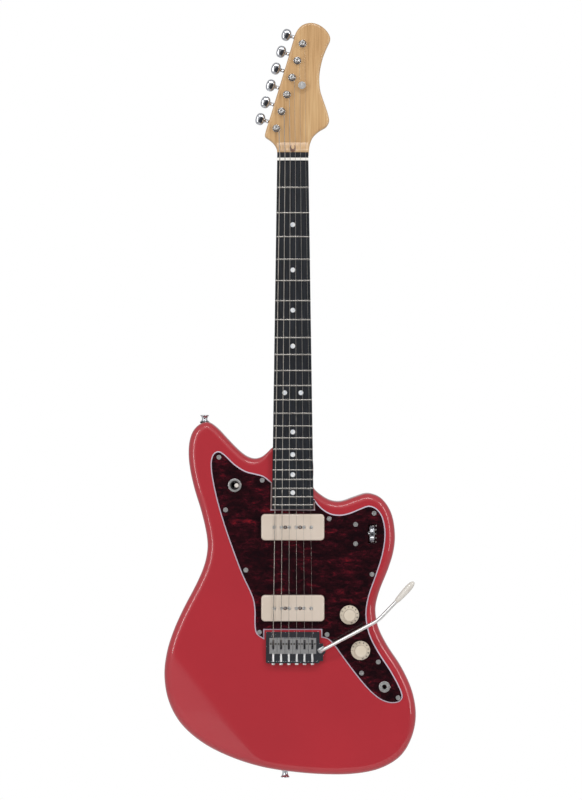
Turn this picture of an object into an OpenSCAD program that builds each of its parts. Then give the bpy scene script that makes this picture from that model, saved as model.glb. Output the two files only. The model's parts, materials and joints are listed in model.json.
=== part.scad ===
// Solid-body electric guitar with an offset body, two soap-bar pickups and a two-post vibrato.
// It hangs upright: +X is the treble side, -Y is the front, +Z runs up the neck.
// The origin is where a wall hanger's fork holds the neck, just under the headstock.

/* [Strings and neck] */
// Length of the open string, from nut to saddle
scale_length = 648; // [600:1:700]
// Width of the neck at the nut
nut_width = 42.4; // [40:0.1:50]
// Width of the neck at the twelfth fret
twelfth_width = 52.1; // [50:0.1:58]
// Number of frets
fret_count = 22; // [20:1:24]
// Radius of the fretboard's curved top
board_radius = 240; // [180:5:400]
// Thickness of the fretboard at its middle
board_thick = 6; // [5:0.5:7]
// Distance between neighbouring strings at the saddles
string_pitch = 10.6; // [10:0.1:11]

/* [Body] */
// Width of the body at its widest
body_width = 342.5; // [330:0.5:410]
// Thickness of the body
body_thick = 44; // [42:0.5:50]
// Thickness of the pickguard
guard_thick = 2.4; // [2:0.1:3]

/* [Headstock] */
// Thickness of the headstock
head_thick = 14.5; // [13:0.5:16]
// Distance between neighbouring tuning machines
tuner_pitch = 24.05; // [23:0.05:27]
// Lean of the row of tuning machines from the centre line
tuner_lean = 17.2; // [14:0.1:20]
// Diameter of a string post
post_d = 6.2; // [5.5:0.1:7]

/* [Pickups and controls] */
// Width of a pickup cover
pickup_w = 85.5; // [80:0.5:90]
// Height of a pickup cover along the strings
pickup_h = 35.5; // [30:0.5:38]
// Diameter of a knob's skirt
knob_d = 26; // [22:0.5:30]
// Diameter of the tone roller
roller_d = 24; // [20:0.5:25]

/* [Vibrato] */
// Width of the bridge plate
plate_w = 72.6; // [70:0.1:78]
// Depth of the vibrato block below the bridge plate
block_depth = 40; // [34:0.5:41]
// Diameter of the vibrato arm
arm_d = 5; // [4:0.1:6]

/* [Hidden] */
$fn = 48;

// Heights below are measured from the saddle line, which lies this far under the origin.
hang_above_nut = 16;
saddle_z = -(scale_length + hang_above_nut);

// Body outline control points, anticlockwise from the bass side of the neck, for a 342.5 mm body
// and a 648 mm scale.
outline_width = 342.5;
outline_scale = 648;
BODY_POINTS = [[-27.5, 259], [-34, 253], [-42, 246.5], [-52, 244], [-63, 247.5], [-75, 257],
    [-90, 272.5], [-104, 287], [-116, 294], [-128, 290], [-137, 279], [-141.5, 260], [-140.5, 235],
    [-134, 204], [-125, 174.5], [-118, 145], [-116, 123], [-120.5, 99], [-132, 72], [-147, 43.5],
    [-161, 13], [-171, -18], [-175, -51], [-169.5, -86], [-153.5, -116.5], [-126, -141.5],
    [-91, -160], [-48, -174], [0, -182], [50, -185.5], [89, -184], [121, -176.5], [147, -160],
    [162, -134.5], [167.5, -104], [162, -71], [147.5, -39.5], [129.5, -12], [116.5, 14.5],
    [112.5, 40], [118, 64.5], [129, 92], [137, 118], [139, 142], [134, 170], [120.5, 190],
    [102, 196.8], [84, 192], [66, 186], [52, 187], [39, 194], [28, 205], [28, 222], [27.5, 240],
    [24, 254], [10, 261], [-10, 262]];
// Pickguard: from the neck down the bass side to the bridge, then from the bridge round the horn.
GUARD_BASS = [[-28.5, 212], [-39, 220.5], [-50, 223.8], [-64, 227.5], [-79, 237], [-93, 250.5],
    [-101.5, 254.5], [-108.5, 250], [-111.5, 238], [-109.5, 217], [-103, 187], [-93.5, 154.5],
    [-82, 121], [-68.5, 85.5], [-55, 56], [-52, 38], [-52, 20], [-49.5, 6.5], [-38.5, -1.5]];
GUARD_TREBLE = [[38.5, 1.5], [47, -0.5], [55, -8], [66, -23], [82, -44.5], [100, -66.5], [116, -81],
    [130, -87], [143, -86.5], [149, -80], [146, -67.5], [133, -43], [117, -18.5], [104.5, 6.5],
    [100, 33], [103.5, 57], [113, 84.5], [122, 113], [126, 141], [122.5, 164], [114, 176.5],
    [103, 180.5], [90, 176], [76, 170.5], [63, 168.2], [50, 170.5], [38, 178.5], [28.5, 190]];
// Headstock outline, with heights above the nut
HEAD_POINTS = [[-20.8, 8], [-22, 17], [-26, 24], [-32, 29.2], [-37.5, 33.3], [-37.3, 38.5],
    [-31, 59], [-18, 102], [-6, 141], [0.5, 163], [5, 176], [13, 184.8], [24.5, 188], [36, 185],
    [46, 177], [51, 166.5], [47, 156], [40.5, 139.5], [36.3, 117], [37.2, 97], [42.5, 80],
    [47.8, 64], [49.3, 54], [45, 46.5], [36, 41], [27.5, 33], [23, 22], [21.6, 8]];

// A place on the body, which grows with the body's width and with the scale length
function on_body(p) = [p[0] * body_width / outline_width, p[1] * scale_length / outline_scale];

// Depths, from the plane of the body's front
guard_front = -guard_thick;
board_front = -9.5;
board_back = board_front + board_thick;
pocket_y = 15.9;
shaft_back_heel = 13.4;
shaft_back_nut = 11;
head_front = 0.5;
head_back = head_front + head_thick;
plate_thick = 2.5;
plate_back = -2.5;
plate_front = plate_back - plate_thick;
cover_front = -9.5;
cover_wall = 1.6;
cover_back = 9;
back_plate = 1.6;
gap = 0.05;
fit = 0.15;

// Neck and frets
function half_width(z) = nut_width / 2 + (scale_length - z) * (twelfth_width - nut_width) / scale_length;
function fret_z(n) = scale_length / pow(2, n / 12);
board_end = fret_z(fret_count) - 6;
board_top = scale_length + 11.3;
heel_top = board_end + 82;
fret_w = 2.2;
fret_h = 1.0;
tang_w = 0.6;
tang_y = -7.2;
dot_d = 6.5;
dot_depth = 2;
side_dot_d = 2;
double_dot_x = 11;
SINGLE_DOTS = [3, 5, 7, 9, 15, 17, 19, 21];
nut_thick = 3.6;
nut_back = -5.5;
nut_front = -12.3;

// Strings, from the thickest on the bass side
STRING_D = [1.17, 0.91, 0.66, 0.43, 0.33, 0.25];
nut_pitch = (nut_width - 7.4) / 5;
nut_string_y = -11.2;
saddle_string_y = -14.3;
wrap_y = -4.2;
wrap_turns = 3;
tree_x = 12.5;
tree_above_nut = 102;
tree_string_y = -5.4;
function crown(x) = x * x / (2 * board_radius);
function saddle_x(i) = (i - 2.5) * string_pitch;
function nut_x(i) = (i - 2.5) * nut_pitch;
function saddle_top(i) = saddle_string_y + crown(saddle_x(i));

// Tuning machines: u runs up the row, v runs out towards the keys. Machine 1 is the lowest.
first_post = [-22.3, 44.4];
tuner_u = [sin(tuner_lean), cos(tuner_lean)];
tuner_v = [-cos(tuner_lean), sin(tuner_lean)];
function post_at(n) = [first_post[0] + (n - 1) * tuner_pitch * tuner_u[0],
    scale_length + first_post[1] + (n - 1) * tuner_pitch * tuner_u[1]];
post_front = -9.5;
worm_u = 7.5;
worm_y = head_back + 5.5;
worm_d = 3.4;
gear_d = 9.4;
housing_h = 10.5;
key_v = 25.3;
key_l = 13;
key_d = 16.5;
key_thick = 9;

// Pickups
neck_pickup_z = 151.5;
bridge_pickup_z = 41.8;
pole_pitch = 10;
pole_d = 4.8;
pickup_rout_y = 21;

// Controls: places on the body
volume_at = [76.8, 32.7];
tone_at = [91.8, -15.5];
toggle_at = [-78.7, 208.3];
roller_at = [107.5, 142.1];
roller_screw_dx = -22.3;
roller_screw_dz = 13.1;
jack_at = [124.3, -65];
bushing_d = 9.4;
shaft_d = 6;
pot_d = 24;
knob_back = -5.6;
knob_front = -19;
knob_top_d = 15.6;
lever_tilt = 8;
lever_pivot_y = 3;
lever_pin_d = 2;
roller_y = 6;
roller_w = 6.5;
control_floor = 31;
jack_bore = 6.4;
SCREW_PLACES = [[-100.1, 246.2], [-41.4, 215.1], [-91.1, 174.9], [-63.6, 93.2], [-45.3, 9],
    [46.5, 5.8], [49.3, 162.9], [110.3, 170.2], [107.5, 87.5], [116, -31.3], [93.3, -46.4],
    [142.9, -79.9]];

// Vibrato
plate_top = 9.6;
plate_bottom = -32.4;
stud_x = 28;
pivot_z = 4.9;
pivot_y = plate_back;
block_w = 66;
block_top = -4;
block_bottom = -19;
block_back = plate_back + block_depth;
string_hole_z = -10;
saddle_l = 20.6;
saddle_nose = 1.2;
saddle_w = string_pitch - 0.4;
intonation_y = -8.6;
belly_at = [-190, 118];
belly_reach = 122;
belly_r = 440;
arm_at = [37.6, -15.5];
arm_turn = 29;
arm_rise = 12;
arm_bend_y = -14;
arm_reach = 90;
arm_end_turn = 18;
arm_end_reach = 36;
tip_l = 37;
spring_y = 35;
spring_d = 7.8;
spring_gap = 17;
claw_z = 100 * scale_length / outline_scale;
claw_w = 56;
claw_screw_x = spring_gap / 2;
cavity_front_y = 27;
cover_bottom = -40;
cover_top = claw_z + 20;
cover_w = 86;

// Strap buttons
upper_button_x = -120.2;
upper_seat_z = 292 * scale_length / outline_scale;
lower_button_x = -10.4;
lower_seat_z = -181 * scale_length / outline_scale;
felt_thick = 2.6;
felt_d = 12.7;
button_l = 8.7;
upper_x = on_body([upper_button_x, 0])[0];
lower_x = on_body([lower_button_x, 0])[0];

// ---- Curves and lofts ----

// Point at t on the curve between b and c of four neighbours, rounded by chord length
function curve_point(a, b, c, d, t) =
    let (l = norm(c - b), tb = (c - a) / (norm(b - a) + l) * l, tc = (d - b) / (l + norm(d - c)) * l)
    (2 * t * t * t - 3 * t * t + 1) * b + (t * t * t - 2 * t * t + t) * tb
    + (3 * t * t - 2 * t * t * t) * c + (t * t * t - t * t) * tc;

// Smooth closed curve through all the points
function closed_curve(p, steps) = let (m = len(p))
    [for (i = [0 : m - 1]) for (s = [0 : steps - 1])
        curve_point(p[(i + m - 1) % m], p[i], p[(i + 1) % m], p[(i + 2) % m], s / steps)];

// Smooth open curve: the end points stand in for their missing neighbours
function open_curve(p, steps) = let (m = len(p))
    concat([for (i = [0 : m - 2]) for (s = [0 : steps - 1])
        curve_point(i == 0 ? 2 * p[0] - p[1] : p[i - 1], p[i], p[i + 1],
            i == m - 2 ? 2 * p[m - 1] - p[m - 2] : p[i + 2], s / steps)], [p[m - 1]]);

// Solid through a list of rings with the same number of points
module loft(rings) {
    m = len(rings[0]);
    n = len(rings);
    polyhedron(
        points = [for (ring = rings) for (p = ring) p],
        faces = concat(
            [[for (k = [m - 1 : -1 : 0]) k]],
            [for (r = [0 : n - 2]) for (k = [0 : m - 1])
                [r * m + k, r * m + (k + 1) % m, (r + 1) * m + (k + 1) % m, (r + 1) * m + k]],
            [[for (k = [0 : m - 1]) (n - 1) * m + k]]));
}

// ---- Placing helpers ----

module from_saddle() {
    translate([0, 0, saddle_z]) children();
}

// A flat outline drawn in x and z, filling the depths from front to back
module slab(front, back) {
    translate([0, back, 0]) rotate([90, 0, 0]) linear_extrude(back - front) children();
}

// A round bar through the depths from front to back at the place p
module bar_y(p, front, back, d) {
    translate([p[0], back, p[1]]) rotate([90, 0, 0]) cylinder(h = back - front, d = d);
}

// A box centred on the place p, filling the depths from front to back
module box_y(p, w, h, front, back) {
    translate([p[0] - w / 2, front, p[1] - h / 2]) cube([w, back - front, h]);
}

module rounded_rect(w, h, r) {
    square([w - 2 * r, h], center = true);
    square([w, h - 2 * r], center = true);
    for (sx = [-1, 1], sz = [-1, 1])
        translate([sx * (w / 2 - r), sz * (h / 2 - r)]) circle(r = r);
}

// A bar along z between two heights at (x, y)
module bar_z(x, y, z0, z1, d) {
    translate([x, y, z0]) cylinder(h = z1 - z0, d = d);
}

// A round rod between two points
module rod(a, b, d) {
    v = b - a;
    translate(a) rotate([0, acos(v[2] / norm(v)), atan2(v[1], v[0])]) cylinder(h = norm(v), d = d);
}

// A ring of the tube at point i, in the plane that halves the corner there
function tube_ring(p, i, d, sides, ref) =
    let (n = len(p), before = i == 0 ? p[1] - p[0] : p[i] - p[i - 1],
        after = i == n - 1 ? before : p[i + 1] - p[i],
        along = before / norm(before), plane = along + after / norm(after),
        a = cross(along, ref) / norm(cross(along, ref)), b = cross(a, along))
    [for (k = [0 : sides - 1])
        let (o = d / 2 * (cos(360 * k / sides) * a + sin(360 * k / sides) * b))
        p[i] + o - along * (o * plane) / (along * plane)];

// A wire or rod of many flat sides along all the points; ref is never parallel to it
module tube(points, d, sides = 8, ref = [1, 0, 0]) {
    loft([for (i = [0 : len(points) - 1]) tube_ring(points, i, d, sides, ref)]);
}

// A panel-head screw at p: head from the surface at y towards the front, shank behind it
module screw_y(p, y, head_d, head_h, shank_d, shank_l) {
    difference() {
        bar_y(p, y - head_h, y, head_d);
        box_y(p, head_d * 0.6, 0.9, y - head_h - 1, y - head_h / 2);
        box_y(p, 0.9, head_d * 0.6, y - head_h - 1, y - head_h / 2);
    }
    bar_y(p, y, y + shank_l, shank_d);
}

// The same screw driven from the back
module screw_from_back(p, y, head_d, head_h, shank_d, shank_l) {
    translate([0, 2 * y, 0]) mirror([0, 1, 0]) screw_y(p, y, head_d, head_h, shank_d, shank_l);
}

// Places a child drawn in a machine's own axes: x up the row, y out to the key, z to the back
module at_tuner(n) {
    p = post_at(n);
    translate([p[0], 0, p[1]])
        multmatrix([[tuner_u[0], tuner_v[0], 0, 0], [0, 0, 1, 0], [tuner_u[1], tuner_v[1], 0, 0]])
            children();
}

module control_places() {
    for (p = SCREW_PLACES) translate([on_body(p)[0], 0, on_body(p)[1]]) children();
    for (s = [-1, 1])
        translate([on_body(roller_at)[0] + roller_screw_dx, 0, on_body(roller_at)[1] + s * roller_screw_dz])
            children();
}

// ---- Body ----

module body_blank() {
    slab(0, body_thick) polygon(closed_curve([for (p = BODY_POINTS) on_body(p)], 3));
}

// A wedge cut across the lower bass corner of the front, for the player's forearm
module forearm_cut() {
    translate([on_body([-114, -82])[0], 0, on_body([-114, -82])[1]]) rotate([0, 51.3, 0])
        rotate([12, 0, 0]) translate([-150, -40, -120]) cube([300, 40, 120]);
}

// A wedge cut from the back at the bass waist, for the player's ribs
module belly_cut() {
    p = on_body(belly_at);
    translate([p[0], body_thick + sqrt(belly_r * belly_r - belly_reach * belly_reach), p[1]])
        sphere(r = belly_r, $fn = 180);
}

module neck_outline(extra, z0, z1) {
    polygon([[-half_width(z0) - extra, z0], [half_width(z0) + extra, z0],
        [half_width(z1) + extra, z1], [-half_width(z1) - extra, z1]]);
}

module neck_screw_places() {
    for (sx = [-1, 1], z = [board_end + 9, board_end + 56]) translate([sx * 18, 0, z]) children();
}

module control_routs() {
    v = on_body(volume_at);
    t = on_body(tone_at);
    j = on_body(jack_at);
    r = on_body(roller_at);
    g = on_body(toggle_at);
    for (p = [v, t]) bar_y(p, -1, control_floor, 38);
    bar_y(j, -1, control_floor, 27);
    bar_y(g, -1, control_floor, 38);
    box_y([r[0] - 8, r[1]], 38, 40, -1, 26);
    slab(-1, control_floor) polygon([[v[0] - 8, v[1] - 6], [v[0] + 14, v[1] - 6],
        [t[0] + 12, t[1]], [t[0] - 12, t[1]]]);
    slab(-1, control_floor) polygon([[t[0] - 6, t[1] - 6], [t[0] + 12, t[1] - 6],
        [j[0] + 8, j[1] + 6], [j[0] - 8, j[1]]]);
    slab(-1, 24) polygon([[v[0] - 7, v[1] + 6], [v[0] + 9, v[1] + 6],
        [r[0] - 8, r[1] - 14], [r[0] - 24, r[1] - 14]]);
    slab(-1, 24) polygon([[36, bridge_z() - 8], [v[0], v[1] - 10], [v[0], v[1] + 10], [36, bridge_z() + 8]]);
    slab(-1, 24)
        polygon([[-38, neck_z() - 4], [-38, neck_z() + 12], [g[0] + 4, g[1] + 4], [g[0] - 8, g[1] - 6]]);
    box_y([22, (bridge_z() + neck_z()) / 2], 12, neck_z() - bridge_z() - 20, -1, 24);
}

function neck_z() = neck_pickup_z * scale_length / outline_scale;
function bridge_z() = bridge_pickup_z * scale_length / outline_scale;

module pickup_mount_places() {
    for (z = [neck_z(), bridge_z()], sx = [-1, 1]) translate([sx * pole_pitch, 0, z]) children();
}

module tremolo_routs() {
    box_y([0, -16], block_w + 7, 32, -1, body_thick + 1);
    bar_y(arm_at, -1, 14, 14);
    box_y([0, (claw_z + 6) / 2], 62, claw_z + 10, cavity_front_y, body_thick + 1);
}

module back_cover_screw_places() {
    for (sx = [-1, 1], z = [cover_bottom + 7, (cover_bottom + cover_top) / 2, cover_top - 7])
        translate([sx * (cover_w / 2 - 5), 0, z]) children();
}

module body() {
    color("firebrick") from_saddle() difference() {
        body_blank();
        forearm_cut();
        belly_cut();
        slab(-1, pocket_y) neck_outline(fit, board_end, heel_top + 20);
        for (z = [neck_z(), bridge_z()]) slab(-1, pickup_rout_y)
            translate([0, z]) rounded_rect(pickup_w + 4, pickup_h + 4, 8);
        control_routs();
        tremolo_routs();
        neck_screw_places() bar_y([0, 0], pocket_y - 1, body_thick + 1, 4.6);
        control_places() bar_y([0, 0], -1, 9, 2.6);
        pickup_mount_places() bar_y([0, 0], pickup_rout_y - 1, 32, 2.6);
        for (s = [-1, 1]) {
            bar_y([s * stud_x, pivot_z], -1, 18, 5);
            bar_z(s * claw_screw_x, spring_y + 2, claw_z, claw_z + 40, 3.6);
        }
        back_cover_screw_places() bar_y([0, 0], body_thick - 11, body_thick + 1, 2.6);
        bar_z(upper_x, body_thick / 2, upper_seat_z, upper_seat_z + 20, felt_d + 0.6);
        bar_z(upper_x, body_thick / 2, upper_seat_z - 24, upper_seat_z + 1, 4);
        bar_z(lower_x, body_thick / 2, lower_seat_z - 20, lower_seat_z, 13.4);
        bar_z(lower_x, body_thick / 2, lower_seat_z - 1, lower_seat_z + 24, 4);
        rod([on_body(tone_at)[0] - 15, 26, on_body(tone_at)[1]], [30, 33, 8], 4);
    }
}

module pickguard() {
    outline = concat(open_curve([for (p = GUARD_BASS) on_body(p)], 3),
        open_curve([for (p = GUARD_TREBLE) on_body(p)], 3));
    color([0.3, 0.07, 0.08]) from_saddle() difference() {
        slab(guard_front, 0) polygon(outline);
        slab(guard_front - 1, 1) translate([-plate_w / 2 - 2.2, -60])
            square([plate_w + 4.4, 60 + plate_top + 2.2]);
        slab(guard_front - 1, 1) neck_outline(0.4, board_end - 0.4, heel_top + 20);
        for (z = [neck_z(), bridge_z()]) slab(guard_front - 1, 1)
            translate([0, z]) rounded_rect(pickup_w + 0.6, pickup_h + 0.6, 5.3);
        for (p = [volume_at, tone_at, jack_at])
            bar_y(on_body(p), guard_front - 1, 1, bushing_d + 0.2);
        bar_y(on_body(toggle_at), guard_front - 1, 1, 12.2);
        box_y(on_body(roller_at), roller_w + 4, roller_d + 1.6, guard_front - 1, 1);
        control_places() bar_y([0, 0], guard_front - 1, 1, 3);
    }
}

module pickguard_screws() {
    color("silver") from_saddle() control_places() screw_y([0, 0], guard_front, 6.4, 1.6, 2.6, 10);
}

module neck_plate() {
    color("silver") from_saddle() difference() {
        slab(body_thick, body_thick + back_plate)
            translate([0, board_end + 32.5]) rounded_rect(46, 60, 4);
        neck_screw_places() bar_y([0, 0], body_thick - 1, body_thick + back_plate + 1, 4.6);
    }
}

module neck_screws() {
    color("silver") from_saddle() neck_screw_places()
        screw_from_back([0, 0], body_thick + back_plate, 8.6, 2.2, 4, 40);
}

// ---- Neck ----

// A flat-fronted, round-backed section of the neck
// Radius of the shaft's round back where it is this half width and depth below the board
function shaft_radius(w, depth) = (w * w + depth * depth) / (2 * depth) + 0.6;

// The shaft's back: a cone that leans so that it gets thinner towards the nut
module shaft_cone() {
    low = heel_top - 12;
    rise = board_top - low;
    r0 = shaft_radius(half_width(low), shaft_back_heel - board_back);
    r1 = shaft_radius(half_width(board_top), shaft_back_nut - board_back);
    lean = (shaft_back_nut - r1) - (shaft_back_heel - r0);
    translate([0, shaft_back_heel - r0, low]) rotate([-atan2(lean, rise), 0, 0])
        cylinder(h = norm([lean, rise]) + 1, r1 = r0, r2 = r1, $fn = 96);
}

// The wood between the shaft and the headstock, whose face lies deeper than the board's back
module head_ramp() {
    w = half_width(board_top);
    intersection() {
        slab(board_back - 1, head_back + 1) neck_outline(0, board_top - 2, board_top + 18);
        translate([-w - 2, 0, scale_length]) rotate([90, 0, 90]) linear_extrude(2 * w + 4)
            polygon([[board_back, 9.5], [board_back, board_top - scale_length], [-2.9, 15], [-1.2, 20],
                [0, 24], [head_front, 28], [head_back, 28], [13.6, 20], [11.9, 15],
                [shaft_back_nut, 9.5]]);
    }
}

module neck_blank() {
    intersection() {
        slab(board_back, pocket_y) neck_outline(0, board_end, board_top);
        union() {
            shaft_cone();
            translate([-twelfth_width, board_back - 1, board_end - 1])
                cube([2 * twelfth_width, 40, heel_top - board_end + 1]);
        }
    }
    head_ramp();
    slab(head_front, head_back) polygon([for (p = open_curve(HEAD_POINTS, 3)) [p[0], p[1] + scale_length]]);
}

module plug_shape(extra) {
    for (z = [16.2, 18.0]) bar_y([0, scale_length + z], -10, 6, 8.4 + extra);
    box_y([0, scale_length + 17.1], 8.4 + extra, 1.8, -10, 6);
}

module neck() {
    color([0.8, 0.66, 0.47]) from_saddle() difference() {
        neck_blank();
        bar_z(0, 2, board_end + 12, scale_length + 12.1, 6.2);
        plug_shape(0);
        for (n = [1 : 6]) bar_y(post_at(n), -5, head_back + 1, 8.7);
        for (n = [1 : 6]) at_tuner(n) tuner_screw_places() translate([0, 0, head_back - 9])
            cylinder(h = 10, d = 1.8);
        bar_y([tree_x, scale_length + tree_above_nut], -1, 10, 2.4);
        neck_screw_places() bar_y([0, 0], pocket_y - 11, pocket_y + 1, 4);
    }
}

module board_cylinder(extra) {
    translate([0, board_front + board_radius, board_end - 5])
        cylinder(h = board_top - board_end + 10, r = board_radius + extra, $fn = 200);
}

module dot_places() {
    for (n = SINGLE_DOTS) translate([0, 0, (fret_z(n) + fret_z(n - 1)) / 2]) children();
    for (s = [-1, 1]) translate([s * double_dot_x, 0, (fret_z(12) + fret_z(11)) / 2]) children();
}

module side_dot_places() {
    for (n = concat(SINGLE_DOTS, [12])) let (z = (fret_z(n) + fret_z(n - 1)) / 2)
        translate([-half_width(z), board_back - 1.6, z]) children();
}

module fretboard() {
    color([0.13, 0.12, 0.13]) from_saddle() difference() {
        intersection() {
            slab(board_front, board_back) neck_outline(0, board_end, board_top);
            board_cylinder(0);
        }
        for (n = [1 : fret_count])
            box_y([0, fret_z(n)], 80, tang_w, board_front - 1, tang_y);
        box_y([0, scale_length + nut_thick / 2], 80, nut_thick, board_front - 1, nut_back);
        dot_places() bar_y([0, 0], board_front - 1, board_front + dot_depth, dot_d);
        side_dot_places() translate([-1, 0, 0]) rotate([0, 90, 0]) cylinder(h = 3, d = side_dot_d);
    }
}

module frets() {
    color("silver") from_saddle() for (n = [1 : fret_count]) {
        w = 2 * half_width(fret_z(n)) - 1;
        intersection() {
            box_y([0, fret_z(n)], w, tang_w, board_front - 1, tang_y);
            board_cylinder(0.2);
        }
        intersection() {
            box_y([0, fret_z(n)], w, fret_w, board_front - 2, board_back);
            difference() {
                board_cylinder(fret_h);
                board_cylinder(0);
            }
        }
    }
}

module fret_dots() {
    color("ivory") from_saddle() {
        intersection() {
            dot_places() bar_y([0, 0], board_front - 1, board_front + dot_depth, dot_d);
            board_cylinder(0);
        }
        side_dot_places() rotate([0, 90, 0]) cylinder(h = 2, d = side_dot_d);
    }
}

module nut() {
    color("white") from_saddle() difference() {
        intersection() {
            box_y([0, scale_length + nut_thick / 2], nut_width, nut_thick, nut_front, nut_back);
            board_cylinder(board_front - nut_front);
        }
        for (i = [0 : 5]) {
            y = nut_string_y + crown(nut_x(i));
            slot_d = STRING_D[i] + 0.1;
            bar_z(nut_x(i), y, scale_length - 1, scale_length + nut_thick + 1, slot_d);
            box_y([nut_x(i), scale_length + nut_thick / 2], slot_d, nut_thick + 2, nut_front - 1, y);
        }
    }
}

module truss_rod() {
    color("dimgray") from_saddle() {
        bar_z(0, 2, board_end + 13, scale_length + 4, 5);
        difference() {
            bar_z(0, 2, scale_length + 4, scale_length + 12, 6);
            translate([0, 2, scale_length + 7]) cylinder(h = 6, d = 3.2, $fn = 6);
        }
    }
}

module truss_rod_plug() {
    color("saddlebrown") from_saddle() difference() {
        intersection() {
            plug_shape(0);
            neck_blank();
        }
        rod([0, 2, scale_length + 10], [0, -3, scale_length + 24], 4.4);
    }
}

module string_tree() {
    p = [tree_x, scale_length + tree_above_nut];
    color("silver") from_saddle() {
        difference() {
            union() {
                bar_y(p, -8, -6, 10.3);
                bar_y(p, -6, head_front, 4);
            }
            bar_y(p, -9, head_front + 1, 2.5);
            bar_y(p, -9, -7, 5.2);
        }
        difference() {
            bar_y(p, -8.4, -7.05, 5);
            box_y(p, 0.8, 6, -9, -7.9);
        }
        bar_y(p, -7.05, 10, 2.4);
    }
}

// ---- Tuning machines ----

module tuner_screw_places() {
    for (u = [-8.9, 11.7]) translate([u, -4.5, 0]) children();
}

module tuner_housings() {
    color("silver") from_saddle() for (n = [1 : 6]) at_tuner(n) difference() {
        union() {
            translate([1.05, 0, head_back + 0.6])
                cube([23.9, 15, 1.2], center = true);
            translate([-6.6, -6.6, head_back]) cube([16.8, 13.6, housing_h]);
        }
        translate([-5.4, -5.6, head_back - 1]) cube([15, 11.4, housing_h]);
        translate([worm_u, 0, worm_y]) rotate([-90, 0, 0]) cylinder(h = 10, d = worm_d + 2 * gap);
        translate([worm_u, -7, worm_y]) rotate([-90, 0, 0]) cylinder(h = 10, d = worm_d + 2 * gap);
        tuner_screw_places() translate([0, 0, head_back - 1]) cylinder(h = 4, d = 2);
    }
}

module tuner_screws() {
    color("silver") from_saddle() for (n = [1 : 6]) at_tuner(n) tuner_screw_places() {
        translate([0, 0, head_back - 8.8]) cylinder(h = 10, d = 1.8);
        translate([0, 0, head_back + 1.2]) cylinder(h = 1.2, d = 2.6);
    }
}

module tuner_ferrules() {
    color("silver") from_saddle() for (n = [1 : 6]) difference() {
        union() {
            bar_y(post_at(n), head_front - 1.4, head_front, 10.4);
            bar_y(post_at(n), head_front, head_front + 7, 8.6);
        }
        bar_y(post_at(n), -5, 10, post_d + 2 * gap);
    }
}

module tuner_post(n) {
    p = post_at(n);
    color("silver") from_saddle() difference() {
        union() {
            bar_y(p, post_front, worm_y + 3.5, post_d);
            bar_y(p, worm_y - 3, worm_y + 3, gear_d);
        }
        bar_y(p, post_front - 1, post_front + 7, 2.7);
        translate([p[0], 0, p[1]]) rotate([0, tuner_lean, 0])
            box_y([0, 0], 1.5, post_d + 2, post_front - 1, post_front + 3.5);
    }
}

// Half of the key's long oval, turned about the worm shaft
function key_profile() = concat([[0, -key_l / 2]],
    [for (k = [1 : 11]) let (a = -90 + 15 * k) [key_d / 2 * pow(cos(a), 0.7), key_l / 2 * sin(a)]],
    [[0, key_l / 2]]);

module tuner_key(n) {
    color("silver") from_saddle() at_tuner(n) translate([worm_u, 0, worm_y]) {
        difference() {
            intersection() {
                translate([0, key_v, 0]) rotate([-90, 0, 0]) rotate_extrude() polygon(key_profile());
                cube([30, 80, key_thick], center = true);
            }
            translate([0, 15, 0]) rotate([-90, 0, 0]) cylinder(h = 9, d = worm_d + 0.04);
        }
        translate([0, -6.4, 0]) rotate([-90, 0, 0]) cylinder(h = 30.3, d = worm_d);
        translate([0, -3.6, 0]) rotate([-90, 0, 0]) cylinder(h = 7, d = 4);
    }
}

module tuner_post_1() { tuner_post(1); }
module tuner_post_2() { tuner_post(2); }
module tuner_post_3() { tuner_post(3); }
module tuner_post_4() { tuner_post(4); }
module tuner_post_5() { tuner_post(5); }
module tuner_post_6() { tuner_post(6); }
module tuner_key_1() { tuner_key(1); }
module tuner_key_2() { tuner_key(2); }
module tuner_key_3() { tuner_key(3); }
module tuner_key_4() { tuner_key(4); }
module tuner_key_5() { tuner_key(5); }
module tuner_key_6() { tuner_key(6); }

// ---- Pickups ----

module pickup_cover(z) {
    color([0.81, 0.75, 0.68]) from_saddle() difference() {
        slab(cover_front, cover_back) translate([0, z]) rounded_rect(pickup_w, pickup_h, 5);
        slab(cover_front + cover_wall, cover_back + 1) translate([0, z])
            rounded_rect(pickup_w - 2 * cover_wall, pickup_h - 2 * cover_wall, 3.4);
        for (k = [-2.5 : 2.5]) bar_y([k * pole_pitch, z], cover_front - 1, 0, pole_d + 0.2);
        for (s = [-1, 1]) bar_y([s * pole_pitch, z], cover_front - 1, 0, 3.4);
    }
}

module neck_pickup_cover() { pickup_cover(neck_z()); }
module bridge_pickup_cover() { pickup_cover(bridge_z()); }

module pickup_coils() {
    color([0.16, 0.14, 0.14]) from_saddle() for (z = [neck_z(), bridge_z()]) difference() {
        slab(cover_front + cover_wall + 0.2, cover_back) translate([0, z])
            rounded_rect(pickup_w - 4.4, pickup_h - 4.4, 3);
        for (k = [-2.5 : 2.5]) {
            bar_y([k * pole_pitch, z], cover_front, cover_back + 1, 3);
            bar_y([k * pole_pitch, z], cover_front, cover_front + 2.4, pole_d + 0.2);
        }
        for (s = [-1, 1]) bar_y([s * pole_pitch, z], cover_front, cover_back + 1, 3.4);
    }
}

module pickup_screws() {
    color("silver") from_saddle() {
        for (z = [neck_z(), bridge_z()], k = [-2.5 : 2.5]) difference() {
            union() {
                bar_y([k * pole_pitch, z], cover_front - 0.3, cover_front + 2.2, pole_d);
                bar_y([k * pole_pitch, z], cover_front, cover_back + 3, 2.9);
            }
            box_y([k * pole_pitch, z], 0.9, 6, cover_front - 1, cover_front + 0.6);
        }
        pickup_mount_places() bar_y([0, 0], cover_front + 0.4, 31.5, 2.6);
    }
}

// ---- Controls ----

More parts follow.
